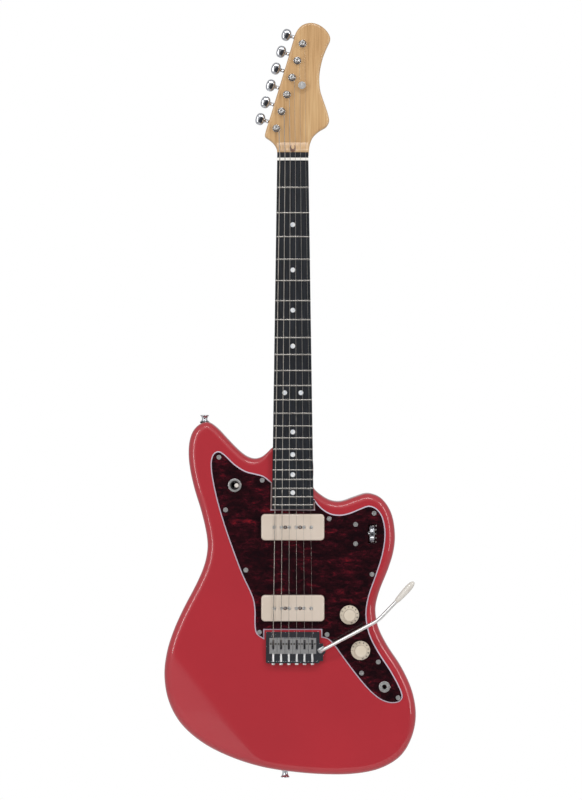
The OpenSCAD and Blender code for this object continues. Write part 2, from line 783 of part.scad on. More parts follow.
module potentiometer(p) {
    difference() {
        union() {
            bar_y(p, 1.2, 10.5, pot_d);
            bar_y(p, knob_back + 0.3, 1.2, bushing_d);
            box_y([p[0], p[1] - pot_d / 2 - 1], 12, 6, 1.4, 2.6);
        }
        bar_y(p, -10, 9, shaft_d + 2 * gap);
    }
}

module control_pots() {
    color("lightgray") from_saddle() for (p = [volume_at, tone_at]) potentiometer(on_body(p));
}

module panel_nuts() {
    color("silver") from_saddle() {
        for (p = [volume_at, tone_at]) difference() {
            translate([on_body(p)[0], guard_front, on_body(p)[1]]) rotate([90, 0, 0])
                cylinder(h = 2, d = 13.6, $fn = 6);
            bar_y(on_body(p), -10, 0, bushing_d);
        }
        difference() {
            bar_y(on_body(jack_at), guard_front - 2.4, guard_front, 15);
            bar_y(on_body(jack_at), -10, 0, bushing_d);
        }
        difference() {
            bar_y(on_body(toggle_at), guard_front - 2.2, guard_front, 18);
            bar_y(on_body(toggle_at), -10, 0, 12);
        }
    }
}

// Knob with a sloping skirt and a grip, turned about z with its base at 0, and its shaft
module knob_and_shaft(p) {
    h = knob_back - knob_front;
    translate([p[0], knob_back, p[1]]) rotate([90, 0, 0]) {
        difference() {
            rotate_extrude() polygon([[0, 0], [knob_d / 2, 0], [knob_d / 2, 1.4],
                [knob_top_d / 2 + 1.2, 5.4], [knob_top_d / 2, 6], [knob_top_d / 2 - 0.6, h], [0, h]]);
            translate([0, 0, -1]) cylinder(h = h - 2, d = shaft_d + 0.04);
        }
        translate([0, 0, knob_back - 8]) cylinder(h = h + 4.6 - 2, d = shaft_d);
    }
}

module volume_knob() { color("antiquewhite") from_saddle() knob_and_shaft(on_body(volume_at)); }
module tone_knob() { color("antiquewhite") from_saddle() knob_and_shaft(on_body(tone_at)); }

module toggle_switch() {
    p = on_body(toggle_at);
    color("dimgray") from_saddle() difference() {
        union() {
            bar_y(p, guard_front - 3, 1.5, 12);
            bar_y(p, 0.1, 6, 20);
            box_y(p, 26, 13, 6, 24);
        }
        bar_y(p, -10, 16, 9);
        bar_z(p[0], lever_pivot_y, p[1] - 11, p[1] + 11, lever_pin_d + 0.4);
    }
}

module toggle_lever() {
    p = on_body(toggle_at);
    color("antiquewhite") from_saddle() translate([p[0], lever_pivot_y, p[1]]) rotate([0, 0, lever_tilt]) {
        sphere(d = 6);
        cylinder(h = 11, d = lever_pin_d, center = true);
        rotate([90, 0, 0]) cylinder(h = 14, d = 3);
        rotate([-90, 0, 0]) cylinder(h = 9, d = 2.4);
        translate([0, -13, 0]) rotate([90, 0, 0]) rotate_extrude()
            polygon([[0, 0], [2.2, 0], [3.1, 7], [2.9, 9.2], [1.8, 10.4], [0, 10.8]]);
    }
}

module roller_bracket() {
    p = on_body(roller_at);
    color("silver") from_saddle() difference() {
        union() {
            box_y([p[0] + roller_screw_dx + 4, p[1]], 16, 34, 0, 1.2);
            box_y([p[0] + roller_screw_dx + 11.2, p[1]], 1.6, 20, 0, 16);
            translate([p[0] - 10, roller_y, p[1]]) rotate([0, 90, 0]) cylinder(h = 5, d = 7);
            translate([p[0] - 20, roller_y + 3, p[1]]) rotate([0, 90, 0]) cylinder(h = 8, d = 17);
        }
        translate([p[0] - 16, roller_y, p[1]]) rotate([0, 90, 0]) cylinder(h = 20, d = 3 + 2 * gap);
        control_places() bar_y([0, 0], -1, 4, 3);
    }
}

module roller_wheel() {
    p = on_body(roller_at);
    color("silver") from_saddle() translate([p[0], roller_y, p[1]]) rotate([0, 90, 0]) {
        difference() {
            translate([0, 0, -roller_w / 2]) cylinder(h = roller_w, d = roller_d);
            translate([0, 0, -5]) cylinder(h = 10, d = 3.04);
            rotate([0, -90, 35]) cylinder(h = 20, d = 1.6);
        }
        translate([0, 0, -15]) cylinder(h = 17.8, d = 3);
    }
}

module output_jack() {
    p = on_body(jack_at);
    color("silver") from_saddle() {
        difference() {
            union() {
                bar_y(p, guard_front - 3.4, 9, bushing_d);
                bar_y(p, 0.05, 1.6, 16);
            }
            bar_y(p, -10, 10, jack_bore);
        }
        box_y([p[0], p[1] + 5.4], 6, 0.8, 1.6, 26);
        box_y([p[0], p[1] - 5.4], 6, 0.8, 1.6, 28);
    }
}

module tone_capacitor() {
    v = on_body(volume_at);
    t = on_body(tone_at);
    p = (v + t) / 2;
    color("peru") from_saddle() bar_y(p, 12, 15, 11);
}

// One thin lead along a smooth curve through the points
module lead(points) {
    tube(open_curve(points, 3), 1.6, 8, [0.2, 0.3, 0.93]);
}

module wiring() {
    v = on_body(volume_at);
    t = on_body(tone_at);
    j = on_body(jack_at);
    g = on_body(toggle_at);
    r = on_body(roller_at);
    n = neck_z();
    b = bridge_z();
    color("lightgoldenrodyellow") from_saddle() {
        lead([[g[0], 25, g[1] - 4], [g[0], 26, g[1] - 8], [g[0] + 20, 19, g[1] - 22], [-34, 17, n + 2],
            [18, 17, n - 6], [22, 17, n - 24], [22, 17, b + 14], [36, 17, b - 2],
            [v[0] - 8, 17, v[1] + 2], [v[0] - 4, 11.4, v[1] + 2]]);
        lead([[-30, 9.9, n - 8], [-30, 14, n - 8], [20, 14.4, n - 10], [25.4, 14.4, n - 24],
            [25.4, 14.4, b + 10], [38, 14, b + 2], [v[0] - 10, 14, v[1] + 6], [v[0] - 8, 11.4, v[1] + 6]]);
        lead([[v[0] + 4, 11.4, v[1] - 4], [v[0] + 6, 20, v[1] - 8], [t[0] - 2, 20, t[1] + 8],
            [t[0], 11.4, t[1] + 4]]);
        lead([[t[0] + 4, 11.4, t[1] - 5], [t[0] + 6, 20, t[1] - 8], [j[0] - 4, 22, j[1] + 12],
            [j[0], 22, j[1] + 7.4], [j[0], 22, j[1] + 6.6]]);
        lead([[v[0] + 2, 11.4, v[1] + 5], [v[0] + 2, 16, v[1] + 12], [r[0] - 16, 19, r[1] - 16],
            [r[0] - 16, 19, r[1] - 10]]);
    }
}

// ---- Hardware on the body's edge ----

// Strap button with a narrow waist, turned about z, standing on its base
module strap_button(l) {
    difference() {
        rotate_extrude() polygon([[0, 0], [5.2, 0], [5.2, 0.8], [3.75, 2.4], [3.75, l * 0.45],
            [4.6, l * 0.75], [6, l * 0.9], [6, l], [0, l]]);
        translate([0, 0, -1]) cylinder(h = l + 2, d = 4.1);
        translate([0, 0, l - 1.8]) cylinder(h = 3, d = 8);
    }
}

module strap_screw(l) {
    translate([0, 0, -22]) cylinder(h = 22 + l - 1.8, d = 4);
    difference() {
        translate([0, 0, l - 1.8]) cylinder(h = 1.7, d = 7.6);
        for (a = [0, 90]) rotate([0, 0, a]) translate([-2.4, -0.5, l - 1.1]) cube([4.8, 1, 3]);
    }
}

module at_upper_strap() {
    translate([upper_x, body_thick / 2, upper_seat_z + felt_thick]) children();
}

module at_lower_strap() {
    translate([lower_x, body_thick / 2, lower_seat_z]) mirror([0, 0, 1]) children();
}

module strap_buttons() {
    color("silver") from_saddle() {
        at_upper_strap() strap_button(button_l);
        at_lower_strap() strap_button(button_l + 1.3);
    }
}

module strap_button_screws() {
    color("silver") from_saddle() {
        at_upper_strap() strap_screw(button_l);
        at_lower_strap() strap_screw(button_l + 1.3);
    }
}

module strap_button_felt() {
    color("black") from_saddle() difference() {
        bar_z(upper_x, body_thick / 2, upper_seat_z, upper_seat_z + felt_thick, felt_d);
        bar_z(upper_x, body_thick / 2, upper_seat_z - 1, upper_seat_z + felt_thick + 1, 4.1);
    }
}

// ---- Vibrato ----

module spring_places() {
    for (k = [-1 : 1]) translate([k * spring_gap, spring_y, 0]) children();
}

module spring_claw() {
    color("silver") from_saddle() difference() {
        union() {
            translate([-claw_w / 2, spring_y - 5, claw_z]) cube([claw_w, 11, 1.8]);
            for (k = [-1 : 1]) translate([k * spring_gap - 2.5, spring_y - 4, claw_z - 4])
                cube([5, 1.8, 5]);
        }
        for (s = [-1, 1]) bar_z(s * claw_screw_x, spring_y + 2, claw_z - 5, claw_z + 5, 3.8);
    }
}

module claw_screws() {
    color("silver") from_saddle() for (s = [-1, 1]) {
        bar_z(s * claw_screw_x, spring_y + 2, claw_z - 0.01, claw_z + 38, 3.6);
        difference() {
            bar_z(s * claw_screw_x, spring_y + 2, claw_z - 2.6, claw_z, 6.4);
            translate([s * claw_screw_x, spring_y + 2, claw_z - 2]) cube([5, 0.9, 2], center = true);
        }
    }
}

module tremolo_springs() {
    z0 = block_top + 5;
    z1 = claw_z - 7;
    color("silver") from_saddle() spring_places() {
        difference() {
            translate([0, 0, z0]) cylinder(h = z1 - z0, d = spring_d);
            translate([0, 0, z0 - 1]) cylinder(h = z1 - z0 + 2, d = spring_d - 2.6);
        }
        for (z = [z0, z1 - 1.2]) translate([-spring_d / 2 + 0.5, -0.6, z]) cube([spring_d - 1, 1.2, 1.2]);
        translate([0, 0, block_top + 0.05]) cylinder(h = z0 - block_top, d = 1.2);
        translate([0, 0, z1 - 0.5]) cylinder(h = claw_z - z1 + 0.45, d = 1.2);
    }
}

module back_cover() {
    mid = (cover_bottom + cover_top) / 2;
    color("ivory") from_saddle() difference() {
        slab(body_thick, body_thick + back_plate)
            translate([0, mid]) rounded_rect(cover_w, cover_top - cover_bottom, 8);
        back_cover_screw_places() bar_y([0, 0], body_thick - 1, body_thick + 4, 3);
        for (i = [0 : 5]) bar_y([saddle_x(i), string_hole_z], body_thick - 1, body_thick + 4, 8);
    }
}

module back_cover_screws() {
    color("silver") from_saddle() back_cover_screw_places()
        screw_from_back([0, 0], body_thick + back_plate, 6, 1.5, 2.6, 11);
}

module pivot_studs() {
    color("silver") from_saddle() for (s = [-1, 1]) difference() {
        union() {
            bar_y([s * stud_x, pivot_z], -6.2, 16, 5);
            bar_y([s * stud_x, pivot_z], -8.6, -6.2, 9);
        }
        box_y([s * stud_x, pivot_z], 1.2, 12, -9, -7.6);
    }
}

module bridge_plate() {
    color([0.35, 0.35, 0.38]) from_saddle() difference() {
        union() {
            box_y([0, (plate_top + plate_bottom) / 2], plate_w, plate_top - plate_bottom,
                plate_front, plate_back);
            box_y([0, plate_bottom + 1], plate_w - 4, 2, plate_front - 6.6, plate_back);
            bar_y(arm_at, plate_front, plate_back, 14);
            box_y([34, -18], 14, 24, plate_front, plate_back);
            bar_y(arm_at, plate_back - 1, 7, 9);
        }
        for (s = [-1, 1]) bar_y([s * stud_x, pivot_z], -10, 2, 6.8);
        bar_y(arm_at, -10, 10, arm_d + 2 * gap);
        for (i = [0 : 5]) {
            bar_y([saddle_x(i), string_hole_z], -10, 2, 3.4);
            bar_z(saddle_x(i), intonation_y, plate_bottom - 1, plate_bottom + 4, 3);
        }
    }
}

module tremolo_block() {
    color("silver") from_saddle() difference() {
        translate([-block_w / 2, plate_back, block_bottom])
            cube([block_w, block_depth, block_top - block_bottom]);
        for (i = [0 : 5]) {
            bar_y([saddle_x(i), string_hole_z], plate_back - 1, block_back + 1, 3.4);
            bar_y([saddle_x(i), string_hole_z], 26, block_back + 1, 6.4);
        }
        for (k = [-1 : 1]) bar_z(k * spring_gap, spring_y, block_top - 4, block_top + 1, 1.6);
    }
}

// Bent-steel saddle: a top with a string slot and two tapped holes, a nose and a rear wall
module saddle(i) {
    x = saddle_x(i);
    top = saddle_top(i) + STRING_D[i] / 2 + 0.02;
    difference() {
        union() {
            box_y([x, saddle_nose - 9.6], saddle_w, 19.2, top, top + 1.8);
            box_y([x, saddle_nose - 0.9], saddle_w, 1.8, top, top + 3.2);
            box_y([x, saddle_nose - saddle_l + 0.9], saddle_w, 1.8, top, plate_front - 0.6);
        }
        box_y([x, -7.25], 3, 14.4, top - 1, top + 2);
        for (s = [-1, 1]) bar_y([x + s * 3.3, -6], top - 1, top + 4, 2.9);
        bar_z(x, intonation_y, saddle_nose - saddle_l - 1, saddle_nose - saddle_l + 3, 2.6);
    }
}

module saddles() {
    color([0.75, 0.75, 0.78]) from_saddle() for (i = [0 : 5]) saddle(i);
}

module saddle_height_screws() {
    color("dimgray") from_saddle() for (i = [0 : 5], s = [-1, 1])
        bar_y([saddle_x(i) + s * 3.3, -6], saddle_top(i) - 0.2, plate_front, 2.9);
}

module intonation_screws() {
    color("silver") from_saddle() for (i = [0 : 5]) {
        bar_z(saddle_x(i), intonation_y, plate_bottom, saddle_nose - saddle_l + 5, 2.6);
        difference() {
            bar_z(saddle_x(i), intonation_y, plate_bottom - 2.2, plate_bottom, 5);
            translate([saddle_x(i), intonation_y, plate_bottom - 2]) cube([4, 0.8, 1.4], center = true);
        }
    }
}

// Points of the arm: out of its socket, a bend, a long run and a cranked end
function arm_point(reach, turn, from) = from + reach * [cos(turn) * cos(arm_rise), -sin(arm_rise),
    sin(turn) * cos(arm_rise)];
arm_foot_y = 8;
arm_bend = [arm_at[0], arm_bend_y, arm_at[1]];
arm_knee = arm_point(arm_reach, arm_turn, arm_bend);
arm_end = arm_point(arm_end_reach, arm_turn + arm_end_turn, arm_knee);
arm_tip_end = arm_point(tip_l, arm_turn + arm_end_turn + 2, arm_end);

module tremolo_arm() {
    color("silver") from_saddle() {
        bar_y(arm_at, arm_bend_y + 8, arm_foot_y, arm_d);
        bar_y(arm_at, arm_bend_y + 6, arm_bend_y + 8.6, arm_d + 2.4);
        tube(open_curve([[arm_at[0], arm_bend_y + 7.3, arm_at[1]], [arm_at[0], arm_bend_y + 3, arm_at[1]],
            arm_point(4, arm_turn, arm_bend), arm_point(arm_reach - 8, arm_turn, arm_bend),
            arm_point(8, arm_turn + arm_end_turn, arm_knee), arm_end], 5), arm_d, 16);
    }
}

module arm_tip() {
    v = arm_tip_end - arm_end;
    color("ivory") from_saddle() translate(arm_end)
        rotate([0, acos(v[2] / norm(v)), atan2(v[1], v[0])]) rotate_extrude()
            polygon([[0, 0.1], [3.4, 0.1], [4.6, tip_l * 0.45], [4.7, tip_l * 0.7],
                [3.8, tip_l * 0.9], [2, tip_l - 0.8], [0, tip_l]]);
}

// ---- Strings ----

// One string: ball end in the block, up over the saddle, along to the nut and on to its post
module one_string(i) {
    d = STRING_D[i];
    p = post_at(i + 1);
    sy = saddle_string_y + crown(saddle_x(i));
    ny = nut_string_y + crown(nut_x(i));
    coil_d = post_d + 0.06 + 2 * d;
    reach = coil_d / 2 + d / 2 + gap;
    side = [p[0] + reach * tuner_v[0] * -1, p[1] + reach * tuner_v[1] * -1];
    under_tree = i > 3;
    tree_z = scale_length + tree_above_nut;
    f = tree_above_nut / (p[1] - scale_length);
    tx = nut_x(i) + (side[0] - nut_x(i)) * f;
    tube(concat(
        [[saddle_x(i), block_back - 8 - gap, string_hole_z],
            [saddle_x(i), plate_front - 0.5, string_hole_z],
            [saddle_x(i), sy, 0], [nut_x(i), ny, scale_length],
            [nut_x(i), ny, scale_length + nut_thick]],
        under_tree ? [[tx, tree_string_y, tree_z]] : [],
        [[side[0], wrap_y, side[1]]]), d);
    translate([saddle_x(i), block_back - 8, string_hole_z]) rotate([-90, 0, 0]) cylinder(h = 3, d = 4);
    difference() {
        bar_y(p, wrap_y - d, wrap_y + (wrap_turns - 1) * d, coil_d);
        bar_y(p, wrap_y - 10, wrap_y + 10, post_d + 0.06);
    }
}

module strings() {
    color("lightgray") from_saddle() for (i = [0 : 5]) one_string(i);
}

body();
pickguard();
pickguard_screws();
neck();
fretboard();
frets();
fret_dots();
nut();
truss_rod();
truss_rod_plug();
string_tree();
neck_plate();
neck_screws();
tuner_housings();
tuner_ferrules();
tuner_screws();
neck_pickup_cover();
bridge_pickup_cover();
pickup_coils();
pickup_screws();
control_pots();
panel_nuts();
toggle_switch();
roller_bracket();
output_jack();
wiring();
tone_capacitor();
strap_buttons();
strap_button_screws();
strap_button_felt();
spring_claw();
claw_screws();
tremolo_springs();
back_cover();
back_cover_screws();
pivot_studs();
strings();
bridge_plate();
tremolo_block();
saddles();
saddle_height_screws();
intonation_screws();
tremolo_arm();
arm_tip();
volume_knob();
tone_knob();
toggle_lever();
roller_wheel();
tuner_key_1();
tuner_key_2();
tuner_key_3();
tuner_key_4();
tuner_key_5();
tuner_key_6();
tuner_post_1();
tuner_post_2();
tuner_post_3();
tuner_post_4();
tuner_post_5();
tuner_post_6();
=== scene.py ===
"""Looks of an offset-body electric guitar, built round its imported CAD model.

Lengths are in millimetres. Heights are measured from the saddle line, as the maker of a guitar
does, and to_frame() turns such points into the model's own frame in metres.
"""

import json
import math

import bmesh
import bpy
import numpy as np
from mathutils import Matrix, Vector
from mathutils.geometry import delaunay_2d_cdt


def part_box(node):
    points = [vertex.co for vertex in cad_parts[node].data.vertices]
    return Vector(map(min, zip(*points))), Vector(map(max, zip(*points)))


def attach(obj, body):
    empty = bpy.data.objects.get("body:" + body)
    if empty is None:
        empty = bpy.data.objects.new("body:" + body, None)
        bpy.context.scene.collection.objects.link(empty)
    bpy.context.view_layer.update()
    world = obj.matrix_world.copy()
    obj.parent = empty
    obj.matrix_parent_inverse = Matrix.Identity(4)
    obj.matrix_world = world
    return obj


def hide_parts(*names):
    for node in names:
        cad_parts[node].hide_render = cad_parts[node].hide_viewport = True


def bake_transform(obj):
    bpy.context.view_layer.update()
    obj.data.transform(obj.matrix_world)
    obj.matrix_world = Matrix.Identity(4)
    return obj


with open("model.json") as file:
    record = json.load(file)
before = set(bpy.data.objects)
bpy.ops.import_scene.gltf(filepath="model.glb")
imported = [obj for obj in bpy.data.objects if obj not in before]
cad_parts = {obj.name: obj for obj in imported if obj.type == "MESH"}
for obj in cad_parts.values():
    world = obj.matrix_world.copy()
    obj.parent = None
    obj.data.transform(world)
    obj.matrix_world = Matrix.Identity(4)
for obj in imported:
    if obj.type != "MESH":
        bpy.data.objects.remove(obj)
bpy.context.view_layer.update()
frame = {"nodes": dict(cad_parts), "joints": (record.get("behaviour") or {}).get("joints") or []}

MM = 0.001
SCALE_LENGTH = 648.0
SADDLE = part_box("nut")[0].z / MM - SCALE_LENGTH
BOARD_RADIUS = 240.0  # of the fretboard's arc across its width
BOARD_TOP = -9.5  # depth of the fretboard's face along its middle
HEEL_BACK = 15.9  # depth of the neck's flat back at the heel
NECK_SLICE = 14.5  # a depth at which the heel and the headstock are both cut through
SHARP = 38  # degrees: an edge that turns by more stays sharp
MOST_SMOOTH_CORNERS = 6  # a face with more corners is a flat end
TOP_PLY = 0.25  # thickness of the guard's top layer
WAVE_BANDS = 20  # bands that Blender's wave texture draws across one unit of its scale
FRONT = np.array([0.0, -1.0, 0.0])
BACK = -FRONT


# ---- Places and outlines taken from the frame ----


def to_frame(points):
    """Millimetres from the saddle line into metres in the model's frame."""
    return (np.asarray(points, float) + [0, 0, SADDLE]) * MM


def from_frame(points):
    """Metres in the model's frame into millimetres from the saddle line."""
    return np.asarray(points, float) / MM - [0, 0, SADDLE]


def box(node):
    """Lowest and highest corner of a CAD node, in millimetres."""
    low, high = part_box(node)
    return from_frame(low), from_frame(high)


def centre(node):
    """Middle of a CAD node's box."""
    low, high = box(node)
    return (low + high) / 2


def welded(node):
    """A CAD node's mesh as a bmesh with its loose triangles joined."""
    mesh = bmesh.new()
    mesh.from_mesh(frame["nodes"][node].data)
    bmesh.ops.remove_doubles(mesh, verts=mesh.verts, dist=1e-5)
    return mesh


def pivot(name):
    """Where a joint's axis passes, in millimetres."""
    joint = next(j for j in frame["joints"] if j["name"] == name)
    return from_frame(joint["pos_m"])


def chain(edges):
    """Edges joined end to end into runs of points, as a list of arrays."""
    runs = []
    while edges:
        edge = edges.pop()
        run = list(edge.verts)
        while run[-1] != run[0]:
            following = next((e for e in run[-1].link_edges if e in edges), None)
            if following is None:
                break
            edges.discard(following)
            run.append(following.other_vert(run[-1]))
        runs.append(np.array([v.co for v in run[:-1]], float))
    return runs


def length_round(points):
    """Length of a closed outline."""
    return np.linalg.norm(np.roll(points, -1, axis=0) - points, axis=1).sum()


def turning(points):
    """Cosine of the turn at each point of a closed outline."""
    before = points - np.roll(points, 1, axis=0)
    after = np.roll(points, -1, axis=0) - points
    sizes = np.linalg.norm(before, axis=1) * np.linalg.norm(after, axis=1)
    return (before * after).sum(axis=1) / np.maximum(sizes, 1e-12)


def area_of(flat):
    """Area a closed outline holds, positive when it runs anticlockwise."""
    ahead = np.roll(flat, -1, axis=0)
    return 0.5 * (flat[:, 0] * ahead[:, 1] - ahead[:, 0] * flat[:, 1]).sum()


def section(node, depth):
    """Outlines (x, z) of a CAD node cut at a depth, longest first.

    Each runs anticlockwise, as seen from the front, from its lowest point.
    """
    mesh = welded(node)
    cut = bmesh.ops.bisect_plane(
        mesh,
        geom=mesh.verts[:] + mesh.edges[:] + mesh.faces[:],
        dist=1e-7,
        plane_co=(0, depth * MM, 0),
        plane_no=(0, 1, 0),
    )["geom_cut"]
    runs = chain({e for e in cut if isinstance(e, bmesh.types.BMEdge)})
    mesh.free()
    outlines = []
    for run in runs:
        flat = from_frame(run)[:, [0, 2]]
        flat = flat if area_of(flat) > 0 else flat[::-1]
        flat = np.roll(flat, -np.lexsort(flat.T)[0], axis=0)
        flat = flat[np.linalg.norm(np.roll(flat, -1, axis=0) - flat, axis=1) > 0.02]
        outlines.append(flat[turning(flat) < math.cos(math.radians(0.4))])
    return sorted(outlines, key=lambda flat: (round(length_round(flat), 3), *flat[0]), reverse=True)


def islands(node):
    """Box of each separate solid of a CAD node, as (low, high) in millimetres, from the left."""
    work = welded(node)
    waiting = set(work.verts)
    boxes = []
    while waiting:
        group = {waiting.pop()}
        edge = list(group)
        while edge:
            vert = edge.pop()
            for link in vert.link_edges:
                other = link.other_vert(vert)
                if other in waiting:
                    waiting.discard(other)
                    group.add(other)
                    edge.append(other)
        points = from_frame(np.array([v.co for v in group], float))
        boxes.append((points.min(axis=0), points.max(axis=0)))
    work.free()
    return sorted(boxes, key=lambda pair: (*pair[0], *pair[1]))


def smooth_outline(points, spacing, corner=32):
    """A closed outline with points `spacing` apart on the cubic through the given ones.

    The cubic's slope at a point is that from one neighbour to the other, and at a corner, where
    the outline turns by more than `corner` degrees, that of each side's own chord.
    """
    ahead = np.roll(points, -1, axis=0)
    chord = np.linalg.norm(ahead - points, axis=1)
    direction = (ahead - points) / chord[:, None]
    before = np.roll(chord, 1)
    mean = (ahead - np.roll(points, 1, axis=0)) / (chord + before)[:, None]
    sharp = turning(points) < math.cos(math.radians(corner))
    leaving = np.where(sharp[:, None], direction, mean)
    arriving = np.roll(np.where(sharp[:, None], np.roll(direction, 1, axis=0), mean), -1, axis=0)
    count = np.maximum(1, np.round(chord / spacing)).astype(int)
    i = np.repeat(np.arange(len(points)), count)
    first = np.repeat(np.cumsum(count) - count, count)
    t = ((np.arange(len(i)) - first) / count[i])[:, None]
    size = chord[i][:, None]
    return (
        (2 * t**3 - 3 * t**2 + 1) * points[i]
        + (t**3 - 2 * t**2 + t) * size * leaving[i]
        + (3 * t**2 - 2 * t**3) * ahead[i]
        + (t**3 - t**2) * size * arriving[i]
    )


def even_outline(points, count):
    """A closed outline resampled at `count` points an equal length apart."""
    closed = np.vstack([points, points[:1]])
    along = np.r_[0, np.cumsum(np.linalg.norm(np.diff(closed, axis=0), axis=1))]
    places = np.linspace(0, along[-1], count, endpoint=False)
    return np.stack([np.interp(places, along, closed[:, k]) for k in range(2)], axis=1)


def inward(outline):
    """At each point of an anticlockwise outline, the step that moves both its sides in by one."""
    edge = np.roll(outline, -1, axis=0) - outline
    edge = edge / np.linalg.norm(edge, axis=1)[:, None]
    normal = np.stack([-edge[:, 1], edge[:, 0]], axis=1)
    before = np.roll(normal, 1, axis=0)
    return (normal + before) / np.maximum(1 + (normal * before).sum(axis=1), 0.4)[:, None]


def spare_room(outline, inset):
    """Share of an inset that each point can take: less where the outline doubles back close by,
    and none at a sharp tip, so that a rim never crosses itself."""
    edge = np.roll(outline, -1, axis=0) - outline
    size = np.linalg.norm(edge, axis=1)
    start = np.cumsum(size) - size
    offset = outline[:, None] - outline[None]
    share = np.clip((offset * edge).sum(axis=2) / size**2, 0, 1)
    gap = np.linalg.norm(offset - share[..., None] * edge, axis=2)
    apart = np.abs(start[:, None] - start - share * size)
    apart = np.minimum(apart, size.sum() - apart)
    gap = np.where(apart > 2.2 * gap + 0.01, gap, np.inf)
    room = np.minimum(0.35 * gap.min(axis=1) / max(inset, 0.01), 1)
    return np.where(turning(outline) < -0.6, 0, room)[:, None]


def rounded_rectangle(middle, width, height, radius, steps=6):
    """Outline of a rectangle with quarter-circle corners."""
    turn = np.linspace(0, math.pi / 2, steps + 1)
    corners = []
    for quarter, (sx, sz) in enumerate([(1, 1), (-1, 1), (-1, -1), (1, -1)]):
        angle = turn + quarter * math.pi / 2
        at = np.array([sx * (width / 2 - radius), sz * (height / 2 - radius)])
        corners.append(at + radius * np.stack([np.cos(angle), np.sin(angle)], axis=1))
    return np.concatenate(corners) + middle


# ---- Shapes: pairs of points and faces ----


def grid_faces(rows, cols):
    """Quads between neighbouring points of a grid whose last column joins its first."""
    r, c = np.meshgrid(np.arange(rows - 1), np.arange(cols), indexing="ij")
    across = (c + 1) % cols
    quads = [r * cols + c, r * cols + across, (r + 1) * cols + across, (r + 1) * cols + c]
    return np.stack(quads, axis=-1).reshape(-1, 4).tolist()


def skin(rings):
    """A closed solid through rings of points, with a flat face on each end ring."""
    rings = np.asarray(rings, float)
    rows, cols = rings.shape[:2]
    faces = grid_faces(rows, cols)
    faces.append(list(range(cols)))
    faces.append(list(range((rows - 1) * cols, rows * cols)))
    return rings.reshape(-1, 3), faces


def join(shapes):
    """Several shapes as one."""
    start = np.cumsum([0] + [len(points) for points, _ in shapes])
    faces = [[i + first for i in face] for (_, own), first in zip(shapes, start) for face in own]
    return np.concatenate([points for points, _ in shapes]), faces


def joined_up(shape):
    """The shape with points that share a place made one."""
    points, faces = shape
    places, same = np.unique(np.round(points, 4), axis=0, return_inverse=True)
    same = same.reshape(-1)
    return places, [[int(same[i]) for i in face] for face in faces]


def moved(shape, matrix, offset):
    """A shape with each point p sent to matrix p + offset."""
    return shape[0] @ np.asarray(matrix, float).T + offset, shape[1]


def axes_of(direction):
    """Two unit vectors square to a direction and to each other, and the direction's own."""
    along = np.asarray(direction, float) / np.linalg.norm(direction)
    helper = [0, 0, 1] if abs(along[2]) < 0.9 else [1, 0, 0]
    side = np.cross(along, helper)
    side = side / np.linalg.norm(side)
    return side, np.cross(along, side), along


def turned(profile, at, direction=FRONT, sides=40, flutes=0, depth=0.0, fluted=None):
    """Profile points (radius, height) carried round an axis.

    Where `fluted` gives a profile point a weight, its radius dips by depth times the positive
    part of cos(flutes times the angle).
    """
    a, b, along = axes_of(direction)
    radius, height = np.asarray(profile, float).T
    angle = np.linspace(0, 2 * math.pi, sides, endpoint=False)
    ring = np.cos(angle)[:, None] * a + np.sin(angle)[:, None] * b
    size = np.repeat(radius[:, None], sides, axis=1)
    if flutes:
        size = size - depth * np.outer(fluted, np.maximum(np.cos(flutes * angle), -0.2))
    return skin(np.asarray(at, float) + height[:, None, None] * along + size[:, :, None] * ring)


def softened(profile, size, steps=3):
    """An open profile whose inner corners are rounded.

    Each corner P becomes the curve (1-t)^2 A + 2t(1-t) P + t^2 B, where A and B lie `size` from
    P along its two sides, or half a side's length if that is less.
    """
    p = np.asarray(profile, float)
    t = np.linspace(0, 1, steps + 1)[:, None]
    points = [p[:1]]
    for before, corner, after in zip(p[:-2], p[1:-1], p[2:]):
        reach = [min(size, np.linalg.norm(q - corner) / 2) for q in (before, after)]
        a = corner + (before - corner) / np.linalg.norm(before - corner) * reach[0]
        b = corner + (after - corner) / np.linalg.norm(after - corner) * reach[1]
        points.append((1 - t) ** 2 * a + 2 * t * (1 - t) * corner + t**2 * b)
    return np.concatenate(points + [p[-1:]])


def plate(outline, front, back, front_edge=(0.4, 0.4), back_edge=(0.4, 0.4), steps=3):
    """A flat solid between two depths with rounded rims.

    A rim (inset, drop) moves inwards by inset (1 - cos a) while its depth changes by
    drop (1 - sin a), as a goes from 0 at the side to a right angle on the face.
    """
    step = inward(outline)
    angle = np.linspace(0, math.pi / 2, steps + 1)
    rims = [(front_edge, a, front, 1) for a in angle[::-1]] + [(back_edge, a, back, -1) for a in angle]
    rings = []
    for (inset, drop), a, face, sign in rims:
        flat = outline + inset * (1 - math.cos(a)) * spare_room(outline, inset) * step
        depth = np.full(len(flat), face + sign * drop * (1 - math.sin(a)))
        rings.append(np.stack([flat[:, 0], depth, flat[:, 1]], axis=1))
    return skin(rings)


def block(low, high):
    """A plain box between two corners."""
    (x0, y0, z0), (x1, y1, z1) = low, high
    return plate(np.array([[x0, z0], [x1, z0], [x1, z1], [x0, z1]]), y0, y1, (0, 0), (0, 0), 1)


